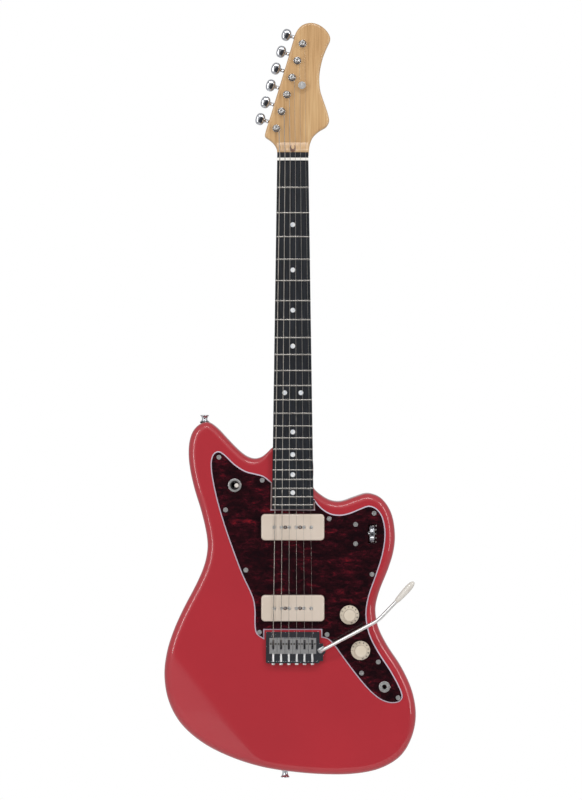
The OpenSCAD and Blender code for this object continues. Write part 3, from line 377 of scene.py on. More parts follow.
def tube(path, radius, sides=12):
    """A round bar along a path.

    Each ring lies across the path's direction there, and starts at the last ring's start turned
    as little as possible. `radius` is one number or one for each point.
    """
    path = np.asarray(path, float)
    radius = np.broadcast_to(np.asarray(radius, float), len(path))
    along = np.gradient(path, axis=0)
    along = along / np.linalg.norm(along, axis=1)[:, None]
    start = axes_of(along[0])[0]
    angle = np.linspace(0, 2 * math.pi, sides, endpoint=False)[:, None]
    rings = []
    for point, direction, size in zip(path, along, radius):
        start = start - direction * (start @ direction)
        start = start / np.linalg.norm(start)
        other = np.cross(direction, start)
        rings.append(point + size * (np.cos(angle) * start + np.sin(angle) * other))
    return skin(rings)


def mesh_of(name, shape):
    """A Blender mesh of a shape, welded, with its faces turned outwards."""
    mesh = bpy.data.meshes.new(name)
    points, faces = shape
    mesh.from_pydata(np.asarray(points, float).tolist(), [], faces)
    work = bmesh.new()
    work.from_mesh(mesh)
    span = np.ptp(np.asarray(points, float), axis=0).max()
    bmesh.ops.remove_doubles(work, verts=work.verts, dist=span * 1e-6)
    bmesh.ops.recalc_face_normals(work, faces=work.faces)
    work.to_mesh(mesh)
    work.free()
    return mesh


def cut(shape, tools, operation="DIFFERENCE"):
    """The shape less the tools' shapes, or joined with them, as a new shape."""
    pair = []
    for part in (shape, join(tools)):
        holder = bpy.data.objects.new("blank", mesh_of("blank", part))
        bpy.context.scene.collection.objects.link(holder)
        pair.append(holder)
    blank, tool = pair
    step = blank.modifiers.new("cut", "BOOLEAN")
    step.operation = operation
    step.solver = "EXACT"
    step.use_self = len(tools) > 1
    step.object = tool
    result = blank.evaluated_get(bpy.context.evaluated_depsgraph_get()).to_mesh()
    points = np.empty(len(result.vertices) * 3)
    result.vertices.foreach_get("co", points)
    faces = [list(polygon.vertices) for polygon in result.polygons]
    for holder in pair:
        bpy.data.meshes.remove(holder.data)
    return points.reshape(-1, 3), faces


# ---- Pieces ----


def finish_piece(obj, material, body, replaced=(), sharp=SHARP):
    """Gives an object its finish, its shading and its place in the frame."""
    obj.data.materials.clear()
    obj.data.materials.append(material)
    obj.data.shade_smooth()
    obj.data.set_sharp_from_angle(angle=math.radians(sharp))
    corners = np.empty(len(obj.data.polygons), np.int32)
    obj.data.polygons.foreach_get("loop_total", corners)
    obj.data.polygons.foreach_set("use_smooth", corners <= MOST_SMOOTH_CORNERS)
    if body:
        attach(obj, body)
    if replaced:
        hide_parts(*replaced)
    return obj


def make(name, shape, material, body, replaced=(), sharp=SHARP):
    """A new piece from a shape in millimetres."""
    points, faces = shape
    obj = bpy.data.objects.new(name, mesh_of(name, (to_frame(points), faces)))
    bpy.context.scene.collection.objects.link(obj)
    return finish_piece(obj, material, body, replaced, sharp)


def rounded_copy(node, material, width, body):
    """A CAD piece with its flat faces made whole and its corners rounded."""
    work = welded(node)
    bmesh.ops.dissolve_limit(
        work, angle_limit=math.radians(0.5), verts=work.verts, edges=work.edges
    )
    name = node + "_finished"
    mesh = bpy.data.meshes.new(name)
    work.to_mesh(mesh)
    work.free()
    obj = bpy.data.objects.new(name, mesh)
    bpy.context.scene.collection.objects.link(obj)
    finish_piece(obj, material, body, [node])
    bevel = obj.modifiers.new("rounded corners", "BEVEL")
    bevel.width = width * MM
    bevel.segments = 2
    bevel.limit_method = "ANGLE"
    bevel.angle_limit = math.radians(SHARP)
    bevel.harden_normals = True
    return obj


def dress(node, material):
    """A CAD piece that keeps its own mesh gets its finish."""
    for holder in frame["nodes"][node].material_slots:
        holder.material = material


# ---- Finishes ----


def linear(colour):
    """An sRGB colour such as #aa3344 as linear red, green, blue and alpha."""
    value = np.array([int(colour[i : i + 2], 16) for i in (1, 3, 5)]) / 255
    low = value / 12.92
    high = ((value + 0.055) / 1.055) ** 2.4
    return (*np.where(value <= 0.04045, low, high), 1.0)


def add(material, kind, inputs=None, **settings):
    """Adds a node. `inputs` maps its input sockets to values or to other nodes' outputs."""
    tree = material.node_tree
    node = tree.nodes.new(kind)
    for name, value in settings.items():
        setattr(node, name, value)
    for name, value in (inputs or {}).items():
        if isinstance(value, bpy.types.NodeSocket):
            tree.links.new(value, node.inputs[name])
        else:
            node.inputs[name].default_value = value
    return node


def start_finish(name, colour, **sockets):
    """A material with its shader joined to its output, and the constants given for its sockets."""
    material = bpy.data.materials.new(name)
    material.use_nodes = True
    material.node_tree.nodes.clear()
    shader = add(material, "ShaderNodeBsdfPrincipled", {"Base Color": linear(colour)})
    for socket, value in sockets.items():
        shader.inputs[socket.replace("_", " ")].default_value = value
    add(material, "ShaderNodeOutputMaterial", {"Surface": shader.outputs[0]})
    return material, shader


def place_nodes(material, scale=(1, 1, 1)):
    """The piece's own coordinates, in metres, stretched."""
    where = add(material, "ShaderNodeTexCoord")
    inputs = {"Vector": where.outputs["Object"], "Scale": scale}
    return add(material, "ShaderNodeMapping", inputs).outputs[0]


def colour_ramp(material, factor, stops):
    """Colours at places along a factor, each stop a place and an sRGB colour."""
    ramp = add(material, "ShaderNodeValToRGB", {"Fac": factor})
    for element in list(ramp.color_ramp.elements)[1:]:
        ramp.color_ramp.elements.remove(element)
    ramp.color_ramp.elements[0].position = stops[0][0]
    ramp.color_ramp.elements[0].color = linear(stops[0][1])
    for position, colour in stops[1:]:
        ramp.color_ramp.elements.new(position).color = linear(colour)
    return ramp.outputs["Color"]


def per_metre(size_mm):
    """Noise scale whose features are about this many millimetres across."""
    return 1000.0 / size_mm


def mix(material, factor, a, b):
    """A colour that goes from a to b as the factor goes from 0 to 1."""
    inputs = {"Factor": factor, "A": a, "B": b}
    return add(material, "ShaderNodeMix", inputs, data_type="RGBA").outputs["Result"]


def noise(material, where, size_mm, detail=2.0, **sockets):
    """Random noise whose features are about this many millimetres across."""
    inputs = {"Vector": where, "Scale": per_metre(size_mm), "Detail": detail, **sockets}
    return add(material, "ShaderNodeTexNoise", inputs).outputs[0]


def relief(material, shader, height, strength, distance_mm, socket="Normal"):
    """Raises the surface by a height, which is 1 at `distance_mm`."""
    inputs = {"Height": height, "Strength": strength, "Distance": distance_mm * MM}
    bump = add(material, "ShaderNodeBump", inputs)
    material.node_tree.links.new(bump.outputs[0], shader.inputs[socket])


def tint(material, shader, factor, stops):
    """Colours the surface by a ramp along a factor."""
    colour = colour_ramp(material, factor, stops)
    material.node_tree.links.new(colour, shader.inputs["Base Color"])


def red_lacquer():
    """Polyester lacquer, sprayed over a red colour coat and buffed: deep, wet gloss whose
    reflections are very slightly wavy, about 9 mm from crest to crest."""
    material, shader = start_finish(
        "buffed_red_polyester_lacquer", "#af1b29", Roughness=0.42, Coat_Weight=1.0, Coat_Roughness=0.035
    )
    where = place_nodes(material)
    tint(material, shader, noise(material, where, 120), [(0.3, "#ac1a28"), (0.7, "#b31c2a")])
    relief(material, shader, noise(material, where, 9, 1.0), 0.03, 0.4, "Coat Normal")
    return material


def tortoiseshell():
    """Celluloid sheet, polished: near black with torn streaks of dark red 5 to 20 mm long lying
    across the guitar. Its bevelled edge cuts through the pale ply under it."""
    material, shader = start_finish(
        "three_ply_tortoiseshell_celluloid", "#2e0d13", Roughness=0.12
    )
    where = place_nodes(material, scale=(0.55, 1, 1.25))
    broad = noise(material, where, 16, 3.0, Roughness=0.62, Distortion=0.5)
    fine = noise(material, where, 5, 5.0, Roughness=0.66, Distortion=0.8)
    both = add(material, "ShaderNodeMath", {0: broad, 1: fine}, operation="MULTIPLY")
    shell = colour_ramp(
        material,
        both.outputs[0],
        [(0.18, "#16060b"), (0.26, "#27090f"), (0.32, "#350b14"), (0.38, "#4f0f19"), (0.46, "#80171f")],
    )
    place = add(material, "ShaderNodeTexCoord").outputs["Object"]
    depth = add(material, "ShaderNodeSeparateXYZ", {"Vector": place}).outputs["Y"]
    ply_back = (box("pickguard")[0][1] + TOP_PLY) * MM
    under = add(material, "ShaderNodeMath", {0: depth, 1: ply_back}, operation="GREATER_THAN")
    colour = mix(material, under.outputs[0], shell, linear("#cfc4d2"))
    material.node_tree.links.new(colour, shader.inputs["Base Color"])
    return material


def tinted_maple():
    """Maple, quarter-cut, stained amber under satin lacquer: straight, faint grain 1 to 3 mm wide
    along the neck, with broader darker bands."""
    material, shader = start_finish(
        "amber_tinted_maple", "#c29f76", Roughness=0.38, Coat_Weight=0.5, Coat_Roughness=0.16
    )
    grain = noise(material, place_nodes(material, scale=(1, 1, 0.035)), 1.8, 3.0)
    bands = noise(material, place_nodes(material, scale=(1, 1, 0.12)), 14)
    inputs = {"Factor": 0.45, "A": grain, "B": bands}
    blend = add(material, "ShaderNodeMix", inputs, data_type="FLOAT")
    stops = [(0.3, "#a9814f"), (0.45, "#c49a68"), (0.6, "#d0a976"), (0.72, "#d9b786")]
    tint(material, shader, blend.outputs["Result"], stops)
    relief(material, shader, grain, 0.05, 0.2)
    return material


def ebonised_board():
    """Technical ebony, oiled: blue-black with pores as short dark lines 6 to 20 mm long."""
    material, shader = start_finish(
        "oiled_ebonised_wood", "#181b21", Roughness=0.5, Specular_IOR_Level=0.3
    )
    pores = noise(material, place_nodes(material, scale=(1, 1, 0.05)), 0.9, 4.0)
    tint(material, shader, pores, [(0.35, "#0f1115"), (0.5, "#181b21"), (0.7, "#22262e")])
    relief(material, shader, pores, 0.25, 0.1)
    return material


def walnut():
    """Walnut plug, lacquered: brown with darker lines along the neck about 1 mm apart."""
    material, shader = start_finish("lacquered_walnut", "#6f4329", Roughness=0.35, Coat_Weight=0.3)
    grain = noise(material, place_nodes(material, scale=(1, 1, 0.15)), 1.2, 3.0)
    tint(material, shader, grain, [(0.35, "#4f2c19"), (0.65, "#8a5a38")])
    return material


def metal(name, colour, roughness, spread, size_mm, stretch=(1, 1, 1), bump=0.0):
    """A metal whose roughness varies by `spread` over patches of a size in millimetres, as from
    handling or a polishing wheel, with an optional bump of the same pattern."""
    material, shader = start_finish(name, colour, Metallic=1.0, Roughness=roughness)
    patches = noise(material, place_nodes(material, scale=stretch), size_mm, 3.0)
    inputs = {"Value": patches, "To Min": roughness - spread, "To Max": roughness + spread}
    rough = add(material, "ShaderNodeMapRange", inputs)
    material.node_tree.links.new(rough.outputs[0], shader.inputs["Roughness"])
    if bump:
        relief(material, shader, patches, bump, 0.2)
    return material


def moulded(name, colours, roughness, size_mm, coat=0.0, bump=0.04):
    """A moulded plastic: its colour drifts between two tones over patches of a size in
    millimetres, and a fine texture a tenth of that size breaks up its gloss."""
    material, shader = start_finish(name, colours[0], Roughness=roughness, Coat_Weight=coat)
    where = place_nodes(material)
    stops = [(0.35, colours[0]), (0.65, colours[1])]
    tint(material, shader, noise(material, where, size_mm), stops)
    relief(material, shader, noise(material, where, size_mm / 10), bump, 0.1)
    return material


def pearl():
    """Imitation mother-of-pearl: white with a soft grey figure about 3 mm across."""
    material, shader = start_finish("pearloid", "#dfe2e6", Roughness=0.22, Coat_Weight=0.5)
    figure = noise(material, place_nodes(material), 3, Distortion=1.2)
    tint(material, shader, figure, [(0.35, "#c3cad2"), (0.5, "#e6e8ea"), (0.65, "#f2f0ea")])
    return material


def wound_wire():
    """Nickel-plated string wire: bands of winding across the string. The real wrap is 0.2 mm
    wide and would not show, so the bands are drawn 0.6 mm apart."""
    material, shader = start_finish("nickel_wound_string", "#a8a29a", Metallic=1.0, Roughness=0.3)
    inputs = {"Vector": place_nodes(material), "Scale": per_metre(0.6) / WAVE_BANDS}
    bands = add(material, "ShaderNodeTexWave", inputs, bands_direction="Z")
    relief(material, shader, bands.outputs["Fac"], 0.3, 0.05)
    return material


def felt():
    """Pressed black wool felt: matt, with loose fibres about 0.5 mm across."""
    material, shader = start_finish("black_wool_felt", "#17171a", Roughness=0.95, Sheen_Weight=0.4)
    fibres = noise(material, place_nodes(material), 0.5, 4.0)
    tint(material, shader, fibres, [(0.3, "#0e0e10"), (0.7, "#26262a")])
    relief(material, shader, fibres, 0.6, 0.3)
    return material


LACQUER = red_lacquer()
SHELL = tortoiseshell()
MAPLE = tinted_maple()
BOARD = ebonised_board()
WALNUT = walnut()
PEARL = pearl()
STRING = wound_wire()
FELT = felt()
CHROME = metal("polished_chrome_plate", "#d4d6da", 0.07, 0.03, 14)
NICKEL = metal("nickel_silver_wire", "#b3b0aa", 0.24, 0.06, 6, stretch=(0.2, 1, 1), bump=0.05)
SATIN_NICKEL = metal("satin_nickel_plated_steel", "#ebeae8", 0.34, 0.05, 3)
ZINC = metal("cast_zinc", "#74767b", 0.42, 0.08, 4, bump=0.2)
TINPLATE = metal("tinned_steel_can", "#9b9a94", 0.34, 0.08, 8, bump=0.05)
ROD_STEEL = metal("drawn_steel_rod", "#7c7a76", 0.4, 0.06, 5, stretch=(1, 1, 0.05))
COVER_CREAM = moulded("moulded_cream_abs", ["#d2c3b2", "#d7c9ba"], 0.3, 40, coat=0.25)
KNOB_CREAM = moulded("aged_cream_urea", ["#d8cbb6", "#ded2c0"], 0.33, 20, coat=0.2)
IVORY = moulded("turned_ivory_acrylic", ["#dcd6cc", "#e4dfd6"], 0.28, 18, coat=0.3)
BACK_PLASTIC = moulded("single_ply_white_vinyl", ["#e3ded3", "#e9e5dc"], 0.35, 50, bump=0.08)
BONE = moulded("polished_bone", ["#efeae0", "#f6f3ec"], 0.32, 5, bump=0.06)
COIL_WIRE = moulded("enamelled_copper_winding", ["#5a2a12", "#74391a"], 0.35, 1.5, bump=0.3)
INSULATION = moulded("waxed_cloth_insulation", ["#d8d2bd", "#bdb59a"], 0.7, 2, bump=0.4)
CAPACITOR = moulded("dipped_orange_epoxy", ["#b4501c", "#c25e26"], 0.3, 6, coat=0.3)
INK = moulded("printed_black_ink", ["#0b0b0d", "#111113"], 0.5, 3)
PALE_INK = moulded("pale_printed_ink", ["#b9b0ac", "#c6beb9"], 0.5, 3)
SWITCH_BLACK = moulded("phenolic_switch_body", ["#1d1c1c", "#2a2826"], 0.45, 7, bump=0.1)


# ---- Body and neck ----

BODY_LOW, BODY_HIGH = box("body")
FRONT_ROUND = 10.0
BACK_ROUND = 8.0
POCKET_ROUND = 3.0  # of both rims beside the neck
RIM_POINTS = 460
# Places on the body as (across, up)
NECK_JOINT = np.array([0.0, 256.0])
BODY_MIDDLE = np.array([0.0, 50.0])
FOREARM_FROM = np.array([-163.0, -20.0])
FOREARM_TO = np.array([-66.0, -141.0])
FOREARM_SLOPE = math.tan(math.radians(12))
BELLY_AT = np.array([-190.0, 118.0])
BELLY_REACH = 122.0
BELLY_RADIUS = 440.0
SMALLEST_ROUT = 180.0  # square millimetres: what is smaller is a screw's hole
CLEAR_OF_BORES = 30.0  # a depth at which the outline crosses no bore in the body's edge


def ease(t):
    """Smooth step from 0 to 1."""
    t = np.clip(t, 0, 1)
    return t * t * (3 - 2 * t)


def ramp(s, blend):
    """Zero below 0 and s above it, with a rounded knee: half of s + sqrt(s^2 + blend^2)."""
    return 0.5 * (s + np.sqrt(s * s + blend * blend))


def front_depth(flat):
    """Depth of the body's front: it slopes away beyond the forearm line."""
    line = FOREARM_TO - FOREARM_FROM
    outwards = np.array([line[1], -line[0]]) / np.linalg.norm(line)
    return BODY_LOW[1] + FOREARM_SLOPE * ramp((flat - FOREARM_FROM) @ outwards, 5.0)


def back_depth(flat):
    """Depth of the body's back: a shallow dish is scooped out at the bass waist."""
    away = np.minimum(((flat - BELLY_AT) ** 2).sum(axis=-1), 0.8 * BELLY_RADIUS**2)
    dish = np.sqrt(BELLY_RADIUS**2 - away) - math.sqrt(BELLY_RADIUS**2 - BELLY_REACH**2)
    return BODY_HIGH[1] - ramp(dish, 1.5)


def body_blank():
    """The body without its routs.

    Rings follow the outline. On each face they shrink towards a point between the pickups; at
    each rim they move inwards by r (1 - cos a) while they drop by r (1 - sin a).
    """
    outline = even_outline(smooth_outline(section("body", CLEAR_OF_BORES)[0], 2), RIM_POINTS)
    step = inward(outline)
    step = step / np.linalg.norm(step, axis=1)[:, None]
    open_air = ease((np.linalg.norm(outline - NECK_JOINT, axis=1) - 30) / 30)[:, None]
    angle = np.linspace(0, math.pi / 2, 9)
    rings = []
    for face_depth, radius, sign, rows in (
        (front_depth, FRONT_ROUND, 1, 40),
        (back_depth, BACK_ROUND, -1, 30),
    ):
        size = POCKET_ROUND + (radius - POCKET_ROUND) * open_air
        inner = outline + size * step
        part = []
        for share in np.linspace(0, 1, rows)[:-1] ** 0.8:
            flat = BODY_MIDDLE + share * (inner - BODY_MIDDLE)
            part.append((flat, face_depth(flat)))
        for a in angle[::-1]:
            flat = outline + size * (1 - math.cos(a)) * step
            part.append((flat, face_depth(flat) + sign * size[:, 0] * (1 - math.sin(a))))
        side = [np.stack([flat[:, 0], depth, flat[:, 1]], axis=1) for flat, depth in part]
        rings += side if sign > 0 else side[::-1]
    return skin(rings)


def body_routs():
    """Room in the body: the neck's pocket, and each cavity as prisms of the CAD body's outlines."""
    tools = []
    slices = ((1.0, -1, 20, 0.0), (23.0, 10, 30.5, 0.3), (43.0, 27.5, 46, 0.0))
    for depth, front, back, shrink in slices:
        for outline in section("body", depth)[1:]:
            if area_of(outline) > SMALLEST_ROUT:
                flat = outline + shrink * inward(outline)
                tools.append(plate(flat, front, back, (0, 0), (0, 0), 1))
    heel = min(section("neck", NECK_SLICE)[:2], key=lambda loop: loop[:, 1].min())
    pocket = heel - 0.15 * inward(heel) + np.where(heel[:, 1:] > heel[:, 1].mean(), [[0, 20]], [[0, 0]])
    tools.append(plate(pocket, -1, box("neck")[1][1] + 0.9, (0, 0), (0, 0), 1))
    return tools


def board_half_width(z):
    """Half the fretboard's width at a height: it tapers evenly from end to end."""
    low, high = box("fretboard")
    outline = section("fretboard", high[1] - 0.8)[0]
    ends = [np.abs(outline[np.abs(outline[:, 1] - end) < 1, 0]).max() for end in (low[2], high[2])]
    return np.interp(z, [low[2], high[2]], ends)


def neck_shaft():
    """Heel and shaft, up into the headstock.

    Each section has a flat front and a back that follows |cos|^p across and |sin|^p deep, where
    a small p gives the heel its square section and a larger one the shaft its round C.
    """
    low, high = box("fretboard")
    top = high[2]
    z = np.concatenate(
        [np.linspace(low[2], 236, 10), np.linspace(240, 300, 31), np.linspace(310, 640, 34)]
        + [np.linspace(645, 692, 32)]
    )
    width = np.where(z < top, board_half_width(np.minimum(z, top)), board_half_width(top) + 0.2)
    shaft = np.interp(z, [258, top], [13.4, 11.0])
    heel = ease((z - 240) / 44)
    head = ease((z - 656) / 34)
    back = HEEL_BACK + (shaft - HEEL_BACK) * heel + (14.0 - shaft) * head
    power = 0.16 + 0.68 * heel - 0.4 * head
    front = np.interp(
        z, [top, top + 3.7, top + 8.7, top + 12.7, top + 20], [-3.5, -2.85, -1.1, 0.15, 2.0]
    )
    across = np.linspace(0, math.pi, 33)
    x = np.sign(np.cos(across)) * np.abs(np.cos(across)) ** power[:, None] * width[:, None]
    y = front[:, None] + (back - front)[:, None] * np.sin(across) ** power[:, None]
    flat = np.linspace(-1, 1, 9)[1:-1]
    x = np.hstack([x, flat * width[:, None]])
    y = np.hstack([y, np.repeat(front[:, None], len(flat), axis=1)])
    return skin(np.stack([x, y, np.repeat(z[:, None], x.shape[1], axis=1)], axis=-1))


def headstock():
    """The headstock: its outline with broad rounded rims."""
    outline = smooth_outline(section("neck", NECK_SLICE)[0], 1.5)
    return plate(outline, 0.5, 15.0, (3.2, 2.6), (3.2, 2.6), 5)


def neck_wood():
    """Shaft and headstock joined, less the post holes."""
    whole = cut(neck_shaft(), [headstock()], "UNION")
    holes = []
    for n in range(1, 7):
        x, _, z = centre(f"tuner_post_{n}")
        holes.append(turned([(0, -20), (4.35, -20), (4.35, 20), (0, 20)], (x, 5, z), FRONT, 32))
    return cut(whole, holes)


def fret_heights():
    """Heights of the frets: each is 2^(1/12) closer to the saddle than the last."""
    count = len(islands("frets"))
    return [SCALE_LENGTH / 2 ** (n / 12) for n in range(1, count + 1)]


def fret_wires():
    """Every fret: a half-round crown (w/2 cos v across, h sin v up) bent over the board's arc."""
    u = np.linspace(-1, 1, 25)
    v = np.linspace(0, math.pi, 9)
    shapes = []
    for z in sorted(round(height, 1) for height in fret_heights()):
        half = board_half_width(z) - 0.15
        height = np.maximum(1.02 * np.sin(v), 0) - 0.25
        reach = half - 0.55 * np.maximum(height, 0)
        x = u[:, None] * reach
        y = BOARD_TOP + x**2 / (2 * BOARD_RADIUS) - height
        depth = z + 1.15 * np.cos(v) + 0 * x
        shapes.append(skin(np.stack([x, y, depth], axis=-1)))
    return join(shapes)


# ---- Pickguard, pickups and controls ----

KNOB_BACK = box("pickguard")[0][1] - 3.2
GUARD_BEVEL = 1.75
GUARD_EDGE = 0.35
SKIRT_SLOPE = math.atan2(3.1, 3.6)


def inside(points, outline):
    """Whether each point lies in a closed outline: a line going right from it crosses an odd
    number of sides."""
    start, end = outline, np.roll(outline, -1, axis=0)
    x, z = points[:, 0][:, None], points[:, 1][:, None]
    spans = (start[:, 1] > z) != (end[:, 1] > z)
    rise = end[:, 1] - start[:, 1]
    crossing = start[:, 0] + (z - start[:, 1]) / np.where(rise == 0, 1, rise) * (end[:, 0] - start[:, 0])
    return (spans & (x < crossing)).sum(axis=1) % 2 == 1


def pierced_face(outer, holes, depth, facing):
    """The flat face between an outline and its holes, in Delaunay triangles."""
    loops = [outer] + holes
    flat = np.vstack(loops)
    first = np.cumsum([0] + [len(loop) for loop in loops])
    own = np.concatenate([np.arange(len(loop)) for loop in loops])
    start, size = (np.repeat(part, np.diff(first)) for part in (first[:-1], np.diff(first)))
    sides = np.stack([start + own, start + (own + 1) % size], axis=1).tolist()
    spots, _, triangles, *_ = delaunay_2d_cdt([Vector(p) for p in flat], sides, [], 0, 1e-5)
    spots = np.array([tuple(p) for p in spots])
    triangles = np.array([list(triangle) for triangle in triangles])
    middles = spots[triangles].mean(axis=1)
    kept = inside(middles, outer)
    for hole in holes:
        kept &= ~inside(middles, hole)
    edge = spots[triangles[:, 1:]] - spots[triangles[:, :1]]
    turn = edge[:, 0, 0] * edge[:, 1, 1] - edge[:, 0, 1] * edge[:, 1, 0]
    triangles = np.where((turn > 0)[:, None], triangles, triangles[:, ::-1])
    triangles = triangles[kept] if facing > 0 else triangles[kept][:, ::-1]
    points = np.stack([spots[:, 0], np.full(len(spots), depth), spots[:, 1]], axis=1)
    return points, triangles.tolist()


def wall(front_loop, front, back_loop, back):
    """The strip between a loop on the front face and the matching loop on the back face."""
    rings = [
        np.stack([loop[:, 0], np.full(len(loop), depth), loop[:, 1]], axis=1)
        for loop, depth in ((front_loop, front), (back_loop, back))
    ]
    return np.vstack(rings), grid_faces(2, len(front_loop))


def pickguard():
    """The guard with a bevelled edge, cut out for what passes through it."""
    low, high = box("pickguard")
    outer, *holes = section("pickguard", (low[1] + high[1]) / 2)
    inner = outer + GUARD_BEVEL * spare_room(outer, GUARD_BEVEL) * inward(outer)
    bevel_back = high[1] - GUARD_EDGE
    sheet = [
        pierced_face(inner, holes, low[1], 1),
        pierced_face(outer, holes, high[1], -1),
        wall(inner, low[1], outer, bevel_back),
        wall(outer, bevel_back, outer, high[1]),
    ]
    sheet += [wall(hole[::-1], low[1], hole[::-1], high[1]) for hole in holes]
    return joined_up(join(sheet))


def pickup_cover(node):
    """A moulded cover: a shell with 2.2 mm rounded rims, holed for its screws."""
    low, high = box(node)
    middle = (low + high)[[0, 2]] / 2
    width, height = (high - low)[[0, 2]]
    outline = rounded_rectangle(middle, width, height, 5.0)
    shell = plate(outline, low[1], high[1], (2.2, 1.8), (0.3, 0.3), 6)
    inner = rounded_rectangle(middle, width - 3.4, height - 3.4, 3.5)
    tools = [plate(inner, low[1] + 1.6, high[1] + 1, (0.5, 0.5), (0, 0), 2)]
    for start, end in islands("pickup_screws"):
        spot = (start + end) / 2
        if abs(spot[2] - middle[1]) < height / 2:
            tools.append(
                turned([(0, -4), (2.5, -4), (2.5, 4), (0, 4)], (spot[0], low[1], spot[2]), FRONT, 24)
            )
    return cut(shell, tools)


def knob(node):
    """A skirted knob: a cone flares out to the numbers' ring, under a fluted cap that is
    slightly dished."""
    low, high = box(node)
    x, z = (low + high)[[0, 2]] / 2
    at = (x, KNOB_BACK, z)
    top = KNOB_BACK - low[1]
    profile = softened(
        [(0, 0), (12.2, 0), (13, 0.5), (13, 1.5), (9.4, 4.6), (8.2, 5.6), (7.7, top), (0, top - 0.5)],
        0.7,
    )
    height = profile[:, 1]
    weight = ease((height - 6.2) / 0.8) * ease((top - 0.4 - height) / 0.6)
    rows = np.linspace(0, 1, 4)[1:-1]
    extra = [np.array([7.95 - 0.35 * t, 6.6 + (top - 7.8) * t]) for t in rows]
    split = int(np.argmax(height > 6.0))
    profile = np.vstack([profile[:split], extra, profile[split:]])
    weight = np.r_[weight[:split], [1.0] * len(extra), weight[split:]]
    return turned(profile, at, FRONT, 144, flutes=24, depth=0.45, fluted=weight)


def digits(labels, size, lift):
    """Flat figures as shapes, each centred on its own origin: x to the right, z up, y to the back."""
    shapes = []
    for label in labels:
        curve = bpy.data.curves.new("figure", "FONT")
        curve.body = label
        curve.size = size
        curve.align_x = "CENTER"
        curve.align_y = "CENTER"
        curve.extrude = lift
        curve.resolution_u = 3
        holder = bpy.data.objects.new("figure", curve)
        bpy.context.scene.collection.objects.link(holder)
        mesh = holder.evaluated_get(bpy.context.evaluated_depsgraph_get()).to_mesh()
        points = np.empty(len(mesh.vertices) * 3)
        mesh.vertices.foreach_get("co", points)
        points = points.reshape(-1, 3)[:, [0, 2, 1]] * [1, -1, 1]
        shapes.append((points, [list(polygon.vertices) for polygon in mesh.polygons]))
        bpy.data.objects.remove(holder)
        bpy.data.curves.remove(curve)
    return shapes


def skirt_numbers(node):
    """Figures 1 to 10 standing round a knob's skirt, each lying on the cone with its foot outwards."""
    low, high = box(node)
    x, z = (low + high)[[0, 2]] / 2
    shapes = []
    for i, figure in enumerate(digits([str(n) for n in range(1, 11)], 3.5, 0.25)):
        angle = math.radians(180 - 28 * i)
        out = np.array([math.cos(angle), 0, math.sin(angle)])
        across = np.array([math.sin(angle), 0, -math.cos(angle)])
        up = -out * math.cos(SKIRT_SLOPE) + FRONT * math.sin(SKIRT_SLOPE)
        outward = -np.cross(across, up)
        matrix = np.stack([across, outward if outward[1] > 0 else -outward, up], axis=1)
        at = np.array([x, KNOB_BACK, z]) + out * 11.0 + FRONT * 3.3
        shapes.append(moved(figure, matrix, at))
    return join(shapes)


def roller_marks():
    """Five ticks beside the roller's slot with even figures from 2 to 10."""
    x, _, z = centre("roller_wheel")
    face = box("pickguard")[0][1]
    shapes = []
    for i, figure in enumerate(digits(["10", "8", "6", "4", "2"], 3.0, 0.05)):
        height = z + 11 - 5.4 * i
        shapes.append(block((x + 6.2, face - 0.06, height - 0.25), (x + 8.4, face + 0.05, height + 0.25)))
        shapes.append(moved(figure, np.eye(3), (x + 11.0, face - 0.02, height)))
    return join(shapes)


def roller_wheel():
    """A knurled wheel on its shaft, drilled for a set screw."""
    at = pivot("roller_turn")
    half = 3.25
    start = box("roller_wheel")[0][0] - at[0]
    profile = [(0, start), (1.5, start), (1.5, -half), (11.2, -half), (11.9, -half + 0.7)]
    profile += [(11.9, 0), (11.9, half - 0.7), (11.2, half), (1.5, half), (0, half)]
    weight = np.array([0, 0, 0, 0, 1, 1, 1, 0, 0, 0])
    wheel = turned(profile, at, (1, 0, 0), 216, flutes=54, depth=0.35, fluted=weight)
    lean = math.radians(35)
    hole = tube([at, at + 20 * np.array([0, -math.cos(lean), math.sin(lean)])], 0.9, 16)
    return cut(wheel, [hole])


def toggle_parts():
    """The switch's bat lever and the cap pressed on it, both leaning to the treble side."""
    at = pivot("toggle_tilt")
    lean = math.radians(8)
    along = (math.sin(lean), -math.cos(lean), 0)
    bat = [(0, -9), (1.2, -9), (1.2, -3.2), (2.9, -1.2), (2.9, 1.2), (1.6, 3), (1.5, 14), (0, 14)]
    lever = turned(softened(bat, 1.0), at, along, 24)
    pin = tube([at - (0, 0, 5.5), at + (0, 0, 5.5)], 1.0, 16)
    dome = [(0, 13), (2.1, 13), (3.1, 20), (3.0, 22), (2.0, 23.6), (0, 23.8)]
    return join([lever, pin]), turned(softened(dome, 1.6, 5), at, along, 32)


# ---- Strings and hardware ----

STRING_D = [1.17, 0.91, 0.66, 0.43, 0.33, 0.25]
POST_RADIUS = 3.1
WRAP_Y = -4.2
SADDLE_Y = -14.3
NUT_Y = -11.2
WRAPS = 2.6
KEY_OUT = 25.3
ARM_RISE = math.radians(12)


def post_place(n):
    """Where machine n's post stands, as (x, z)."""
    return centre(f"tuner_post_{n}")[[0, 2]]


def machine_axes():
    """The machines' own axes as columns: up the row, out to the keys, and to the back."""
    row = post_place(6) - post_place(1)
    row = row / np.linalg.norm(row)
    up = np.array([row[0], 0, row[1]])
    out = np.array([-row[1], 0, row[0]])
    return np.stack([up, out, BACK], axis=1)


def saddle_middles():
    """Each saddle's place across the guitar, from the bass side."""
    return sorted((low[0] + high[0]) / 2 for low, high in islands("saddles"))


